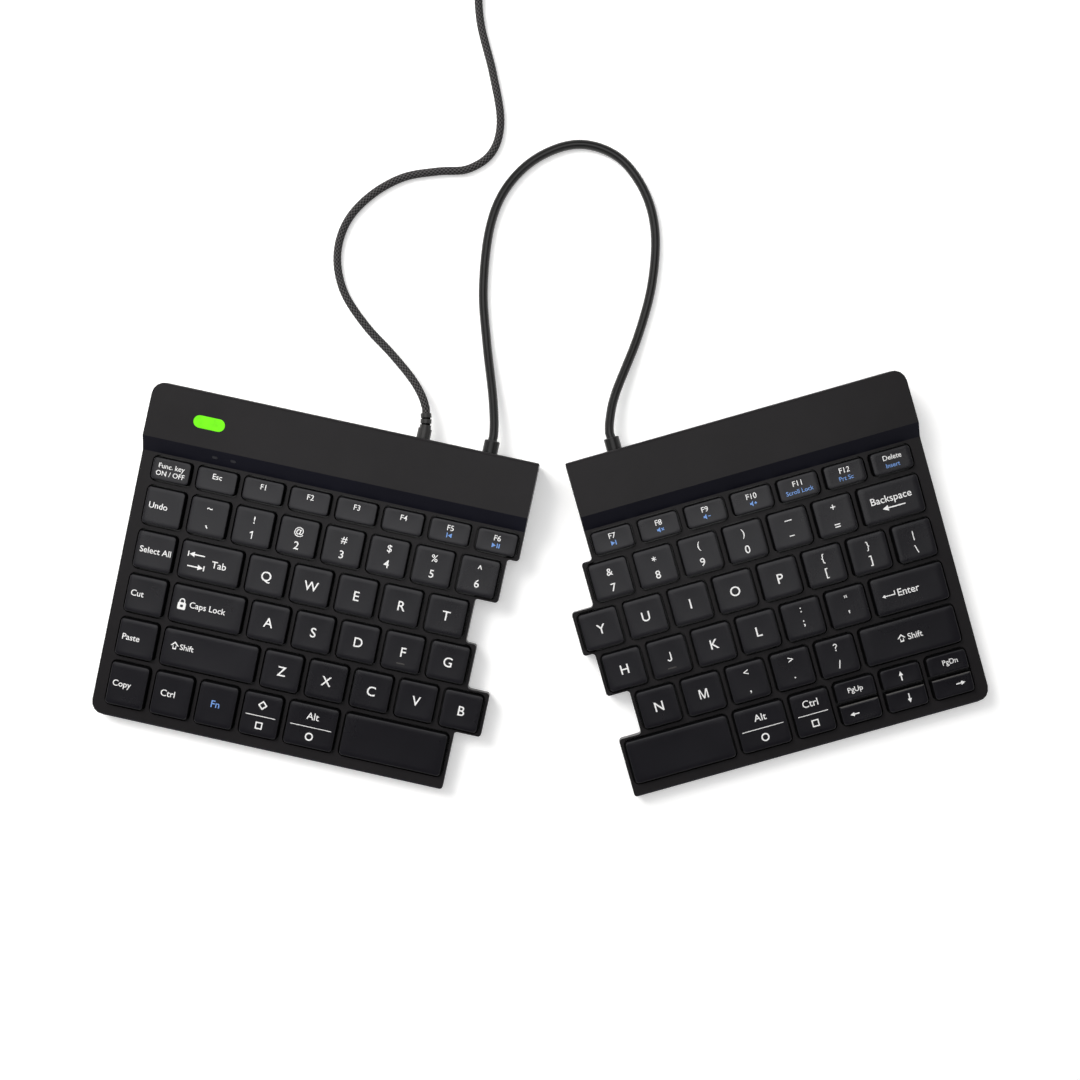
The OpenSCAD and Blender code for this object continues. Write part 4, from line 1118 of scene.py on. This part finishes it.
SPEAKER = [(-1.2, -0.4), (-0.7, -0.4), (0.1, -1.1), (0.1, 1.1), (-0.7, 0.4), (-1.2, 0.4)]
PLAY = [(-0.8, -0.95), (0.8, 0), (-0.8, 0.95)]
PLAY_BAR = bar(0.2, 0.95)
TAB_STOP = bar(0.25, 1.1)
CROSS_BAR = bar(0.75, 0.15)
MINUS = plate(0.6, -0.17, 1.7, 0.17)
STAR_BAR = bar(1.0, 0.17)
TAB_BACK = solid(arrow(6.6, 180, 2.2), moved(TAB_STOP, -3.7, 0))
TAB_ON = solid(arrow(6.6, 0, 2.2), moved(TAB_STOP, 3.7, 0))
PREVIOUS = solid(moved(turned(PLAY, 180), 0.3, 0), moved(PLAY_BAR, -0.9, 0))
NEXT = solid(moved(PLAY, -0.3, 0), moved(PLAY_BAR, 0.9, 0))
PLAY_PAUSE = solid(moved(PLAY, -0.9, 0), plate(0.35, -0.95, 0.75, 0.95), plate(1.15, -0.95, 1.55, 0.95))
MUTE = solid(SPEAKER, *(moved(turned(CROSS_BAR, slant), 1.1, 0) for slant in (45, -45)))
QUIETER = solid(SPEAKER, MINUS)
LOUDER = solid(SPEAKER, MINUS, plate(0.98, -0.55, 1.32, 0.55))
SHIFT_ARROW = [(-0.75, -1.5), (0.75, -1.5), (0.75, 0), (1.75, 0), (0, 1.75), (-1.75, 0), (-0.75, 0)]
SHIFT_UP = [framed(SHIFT_ARROW, 0.62)]
RETURN = solid([
    (-2.8, 0), (-1.4, -0.75), (-1.4, -0.21), (2.8, -0.21), (2.8, 1.5), (2.38, 1.5), (2.38, 0.21),
    (-1.4, 0.21), (-1.4, 0.75),
])
ERASE = solid(arrow(9.6, 180, 2.4))
DIAMOND = [framed([(-2.0, 0), (0, -2.0), (2.0, 0), (0, 2.0)], 0.6)]
SQUARE = [framed(bar(1.5, 1.5), 0.66)]
RING = [framed(circle(1.7), 0.66)]
DRAWN = {
    "1": solid([
        (-0.05, -1.6), (0.4, -1.6), (0.4, 1.6), (0.05, 1.6), (-0.85, 0.95), (-0.85, 0.45), (-0.05, 0.9),
    ]),
    "M": solid([
        (-1.85, -1.95), (-1.35, -1.95), (-1.35, 1.2), (-0.24, -1.95), (0.24, -1.95), (1.35, 1.2),
        (1.35, -1.95), (1.85, -1.95), (1.85, 1.95), (1.1, 1.95), (0, -1.2), (-1.1, 1.95), (-1.85, 1.95),
    ]),
    "J": letter_j(),
    "?": question(),
    "_": solid(bar(1.5, 0.2)),
    "-": solid(bar(1.05, 0.19)),
    "*": solid(*(turned(STAR_BAR, slant) for slant in (30, 90, 150))),
    "`": solid(band([(-0.4, 0.6), (0.4, -0.6)], 0.5)),
    '"': solid(plate(-0.55, -0.55, -0.2, 0.55), plate(0.2, -0.55, 0.55, 0.55)),
}


def character(c, height, y=0.0):
    """One character, drawn where the typeface's own has the wrong form."""
    y += RAISED.get(c, 0)
    return sign(DRAWN[c], y=y) if c in DRAWN else text(c, height, y=y)


def letters(row):
    return [[character(c, LETTER)] for c in row]


def stacked(pairs):
    """Two signs on each key, one above the other."""
    return [[character(p[0], SIGN, UPPER), character(p[1], DIGIT, LOWER)] for p in pairs.split()]


def labels(names, lower):
    """Function keys: a small name above a blue sign or word."""
    keys = []
    for name, below in zip(names.split(), lower):
        marks = [text(name, LABEL, y=FN_UPPER)]
        if isinstance(below, str):
            marks.append(text(below, SMALL, y=FN_WORD, ink=BLUE_INK))
        elif below:
            marks.append(sign(below, y=FN_LOWER, ink=BLUE_INK))
        keys.append(marks)
    return keys


def divided(name, width, lower):
    """A name above a thin line, with a sign below it."""
    upper = text(name, SIGN, y=SPLIT_UPPER) if isinstance(name, str) else sign(name, y=SPLIT_UPPER)
    line = solid(bar(width / 2, SPLIT_HALF))
    return [upper, sign(line, y=SPLIT_LINE), sign(lower, y=SPLIT_LOWER)]


def at_margin(words):
    return [text(words, WORD, x=-MARGIN, y=WORD_RISE, align="LEFT")]


def arrow_key(degrees, x=0.0, y=0.0):
    return [[sign(solid(arrow(3.9, degrees, 1.8)), x, y)]]


NARROW_LINE, WIDE_LINE = 12.6, 17.4
LEGENDS = {
    "func_lock_key": [[text("Func. key", TIGHT_WORD, y=1.5), text("ON / OFF", TIGHT_WORD, y=-1.6)]],
    "escape_key": labels("Esc", [None]),
    "left_function_keys": labels("F1 F2 F3 F4 F5 F6", [None, None, None, None, PREVIOUS, PLAY_PAUSE]),
    "right_function_keys": labels(
        "F7 F8 F9 F10 F11 F12", [NEXT, MUTE, QUIETER, LOUDER, "Scroll Lock", "Prt Sc"]
    ),
    "delete_key": [[
        text("Delete", TIGHT_WORD, 0.4, FN_UPPER), text("Insert", SMALL, y=FN_WORD, ink=BLUE_INK),
    ]],
    "left_number_keys": stacked("~` !1 @2 #3 $4 %5 ^6"),
    "right_number_keys": stacked("&7 *8 (9 )0 _- +="),
    "backspace_key": [[text("Backspace", SIGN, y=1.2), sign(ERASE, x=0.4, y=-2.7)]],
    "left_shortcut_keys": [at_margin(w) for w in ("Undo", "Select All", "Cut", "Paste", "Copy")],
    "tab_key": [[sign(TAB_BACK, -6.0, 2.5), sign(TAB_ON, -6.0, -2.5), text("Tab", TAB_WORD, 3.7)]],
    "left_upper_letter_keys": letters("QWERT"),
    "right_upper_letter_keys": letters("YUIOP") + stacked("{[ }] |\\"),
    "caps_lock_key": [[sign(padlock(), -10.6), text("Caps Lock", WORD, 0.1, WORD_RISE)]],
    "left_home_letter_keys": letters("ASDFG"),
    "right_home_letter_keys": letters("HJKL") + stacked(":; \"'"),
    "enter_key": [[sign(RETURN, -8.9, -0.3), text("Enter", SIGN, -0.7)]],
    "left_shift_key": [[sign(SHIFT_UP, -14.8, 0.9), text("Shift", SHIFT_WORD, -9.7, 0.9)]],
    "right_shift_key": [[sign(SHIFT_UP, -3.7), text("Shift", WORD, 1.9)]],
    "left_lower_letter_keys": letters("ZXCVB"),
    "right_lower_letter_keys": letters("NM") + stacked("<, >. ?/"),
    "left_modifier_keys": [
        [text("Ctrl", CTRL_WORD, -1.7, 0.5)],
        [text("Fn", SIGN, -0.5, 0.4, ink=BLUE_INK)],
        divided(DIAMOND, NARROW_LINE, SQUARE),
    ],
    "left_alt_key": [divided("Alt", WIDE_LINE, RING)],
    "right_modifier_keys": [divided("Alt", WIDE_LINE, RING), divided("Ctrl", NARROW_LINE, SQUARE)],
    "page_up_key": [[text("PgUp", PAGE_WORD)]],
    "page_down_key": [[text("PgDn", PAGE_WORD, 1.2, 0.4)]],
    "up_arrow_key": arrow_key(90),
    "down_arrow_key": arrow_key(-90, 1.0),
    "left_arrow_key": arrow_key(180, -2.8, -0.3),
    "right_arrow_key": arrow_key(0, 3.2, 0.3),
}


class Lettering:
    """Solid words in the built-in typeface, sized by the height of their capitals."""

    def __init__(self):
        self.curve = bpy.data.curves.new("lettering", "FONT")
        self.curve.resolution_u = 4
        self.curve.extrude = 1.0
        self.curve.offset = STROKE
        self.holder = add_object("lettering", self.curve)
        self.capital = max(y for _, y, _ in self.shape("H", "LEFT")[0])

    def shape(self, words, align):
        self.curve.body = words
        self.curve.align_x = align
        bpy.context.view_layer.update()
        shown = self.holder.evaluated_get(bpy.context.evaluated_depsgraph_get())
        mesh = shown.to_mesh()
        points = [tuple(v.co) for v in mesh.vertices]
        faces = [tuple(p.vertices) for p in mesh.polygons]
        shown.to_mesh_clear()
        return points, faces

    def remove(self):
        bpy.data.objects.remove(self.holder)
        bpy.data.curves.remove(self.curve)


def print_words(bm, key, mark, lettering):
    points, faces = lettering.shape(mark.drawing, mark.align)
    scale = mark.height / lettering.capital
    made = []
    for x, y, z in points:
        px = (mark.x + scale * x) * MM
        py = (mark.y - mark.height / 2 + scale * y) * MM
        made.append(bm.verts.new(key.on_top(px, py, LIFT if z > 0 else -SINK)))
    for face in faces:
        bm.faces.new([made[k] for k in face])


def print_sign(bm, key, mark):
    def ring(outline, rise):
        return [key.on_top((mark.x + x) * MM, (mark.y + y) * MM, rise) for x, y in outline]

    for outer, opening in mark.drawing:
        rings = [ring(outer, -SINK), ring(outer, LIFT)]
        if opening:
            rings += [ring(opening, LIFT), ring(opening, -SINK), rings[0]]
        loft(bm, rings, closed=not opening)


def make_legends(keys):
    """One piece for each node and ink, which rides with the node's keys."""
    lettering = Lettering()
    for node, marked in LEGENDS.items():
        row = keys[node]
        assert len(row) == len(marked), node
        for ink, slot in ((INK, "legend"), (BLUE_INK, "legend_blue")):
            bm = bmesh.new()
            for key, marks in zip(row, marked):
                for mark in marks:
                    if mark.ink is not ink:
                        continue
                    if isinstance(mark.drawing, str):
                        print_words(bm, key, mark, lettering)
                    else:
                        print_sign(bm, key, mark)
            if not bm.faces:
                bm.free()
                continue
            bmesh.ops.remove_doubles(bm, verts=bm.verts, dist=LEGEND_WELD)
            add_piece(mesh_from(f"{node}_{slot}", bm), node, ink, slot=slot)
    lettering.remove()


make_legends(KEYS)


# Floor, light and world
FLOOR_SIZE = 6.0
FLOOR_WHITE = 0.88
FLOOR_LIFT = 0.35
LIFT_FROM, LIFT_TO = 0.36, 0.95
FLOOR_DROP = 0.05 * MM


def seen_plainly(nodes):
    """One for rays that show the background: from the camera, or off gloss and through glass."""
    path = nodes.node("LightPath")
    total = path.outputs["Is Camera Ray"]
    for kind in ("Is Glossy Ray", "Is Transmission Ray"):
        both = nodes.node("Math", {0: total, 1: path.outputs[kind]}, operation="MAXIMUM")
        total = both.outputs[0]
    return total


def make_floor():
    """A pale floor that keeps the shadows near the object and is plain white far from it."""
    bm = bmesh.new()
    bmesh.ops.create_grid(bm, x_segments=1, y_segments=1, size=FLOOR_SIZE / 2)
    mesh = bpy.data.meshes.new("floor")
    bm.to_mesh(mesh)
    bm.free()
    white = (FLOOR_WHITE, FLOOR_WHITE, FLOOR_WHITE, 1)
    paint = Paint(
        "floor_white", Base_Color=white, Roughness=0.9, Specular_IOR_Level=0, Emission_Color=(1, 1, 1, 1)
    )
    away = paint.node("VectorMath", {0: paint.place()}, operation="LENGTH")
    rise = paint.node(
        "MapRange", {"Value": away.outputs["Value"]}, interpolation_type="SMOOTHSTEP",
        From_Min=LIFT_FROM, From_Max=LIFT_TO, To_Min=FLOOR_LIFT,
    )
    lift = paint.node("Math", {0: seen_plainly(paint), 1: rise.outputs["Result"]}, operation="MULTIPLY")
    mesh.materials.append(paint.feed(Emission_Strength=lift.outputs[0]))
    floor = add_object("floor", mesh)
    floor.location.z = -FLOOR_DROP


WORLD_FILL = 0.22
CEILING = 0.03
CEILING_FROM, CEILING_TO = 0.35, 0.75


def make_world():
    """White where it is seen; in gloss it dims from the horizon to a dark ceiling; a low even fill."""
    sky = Nodes(bpy.data.worlds.new("studio"), "Background", Color=(1, 1, 1, 1))
    share = sky.span(seen_plainly(sky), WORLD_FILL, 1.0)
    split = sky.node("SeparateXYZ", {"Vector": sky.place("Generated")})
    dim = sky.node(
        "MapRange", {"Value": split.outputs["Z"]},
        From_Min=CEILING_FROM, From_Max=CEILING_TO, To_Max=CEILING - 1,
    )
    glossy = sky.node("LightPath").outputs["Is Glossy Ray"]
    level = sky.node("Math", {0: glossy, 1: dim.outputs["Result"], 2: share}, operation="MULTIPLY_ADD")
    bpy.context.scene.world = sky.feed(Strength=level.outputs[0])


# Each light's place, the point it faces, size, power, colour and whether gloss shows it
LIGHTS = {
    "key_light": ((-0.62, 0.66, 0.85), (0, 0, 0), (0.62, 0.62), 13.4, (1.0, 0.985, 0.96), False),
    "overhead_box": ((-0.1, 0.213, 0.87), (-0.1, 0.213, 0), (0.9, 0.636), 3.15, (1.0, 1.0, 1.0), True),
}


def make_lights():
    for name, (place, target, size, power, colour, glossy) in LIGHTS.items():
        data = bpy.data.lights.new(name, "AREA")
        data.shape = "RECTANGLE"
        data.size, data.size_y = size
        data.energy = power
        data.color = colour
        light = add_object(name, data)
        light.visible_glossy = glossy
        light.location = place
        light.rotation_euler = (Vector(target) - Vector(place)).to_track_quat("-Z", "Y").to_euler()


make_floor()
make_world()
make_lights()
bpy.context.scene.view_settings.view_transform = "Standard"
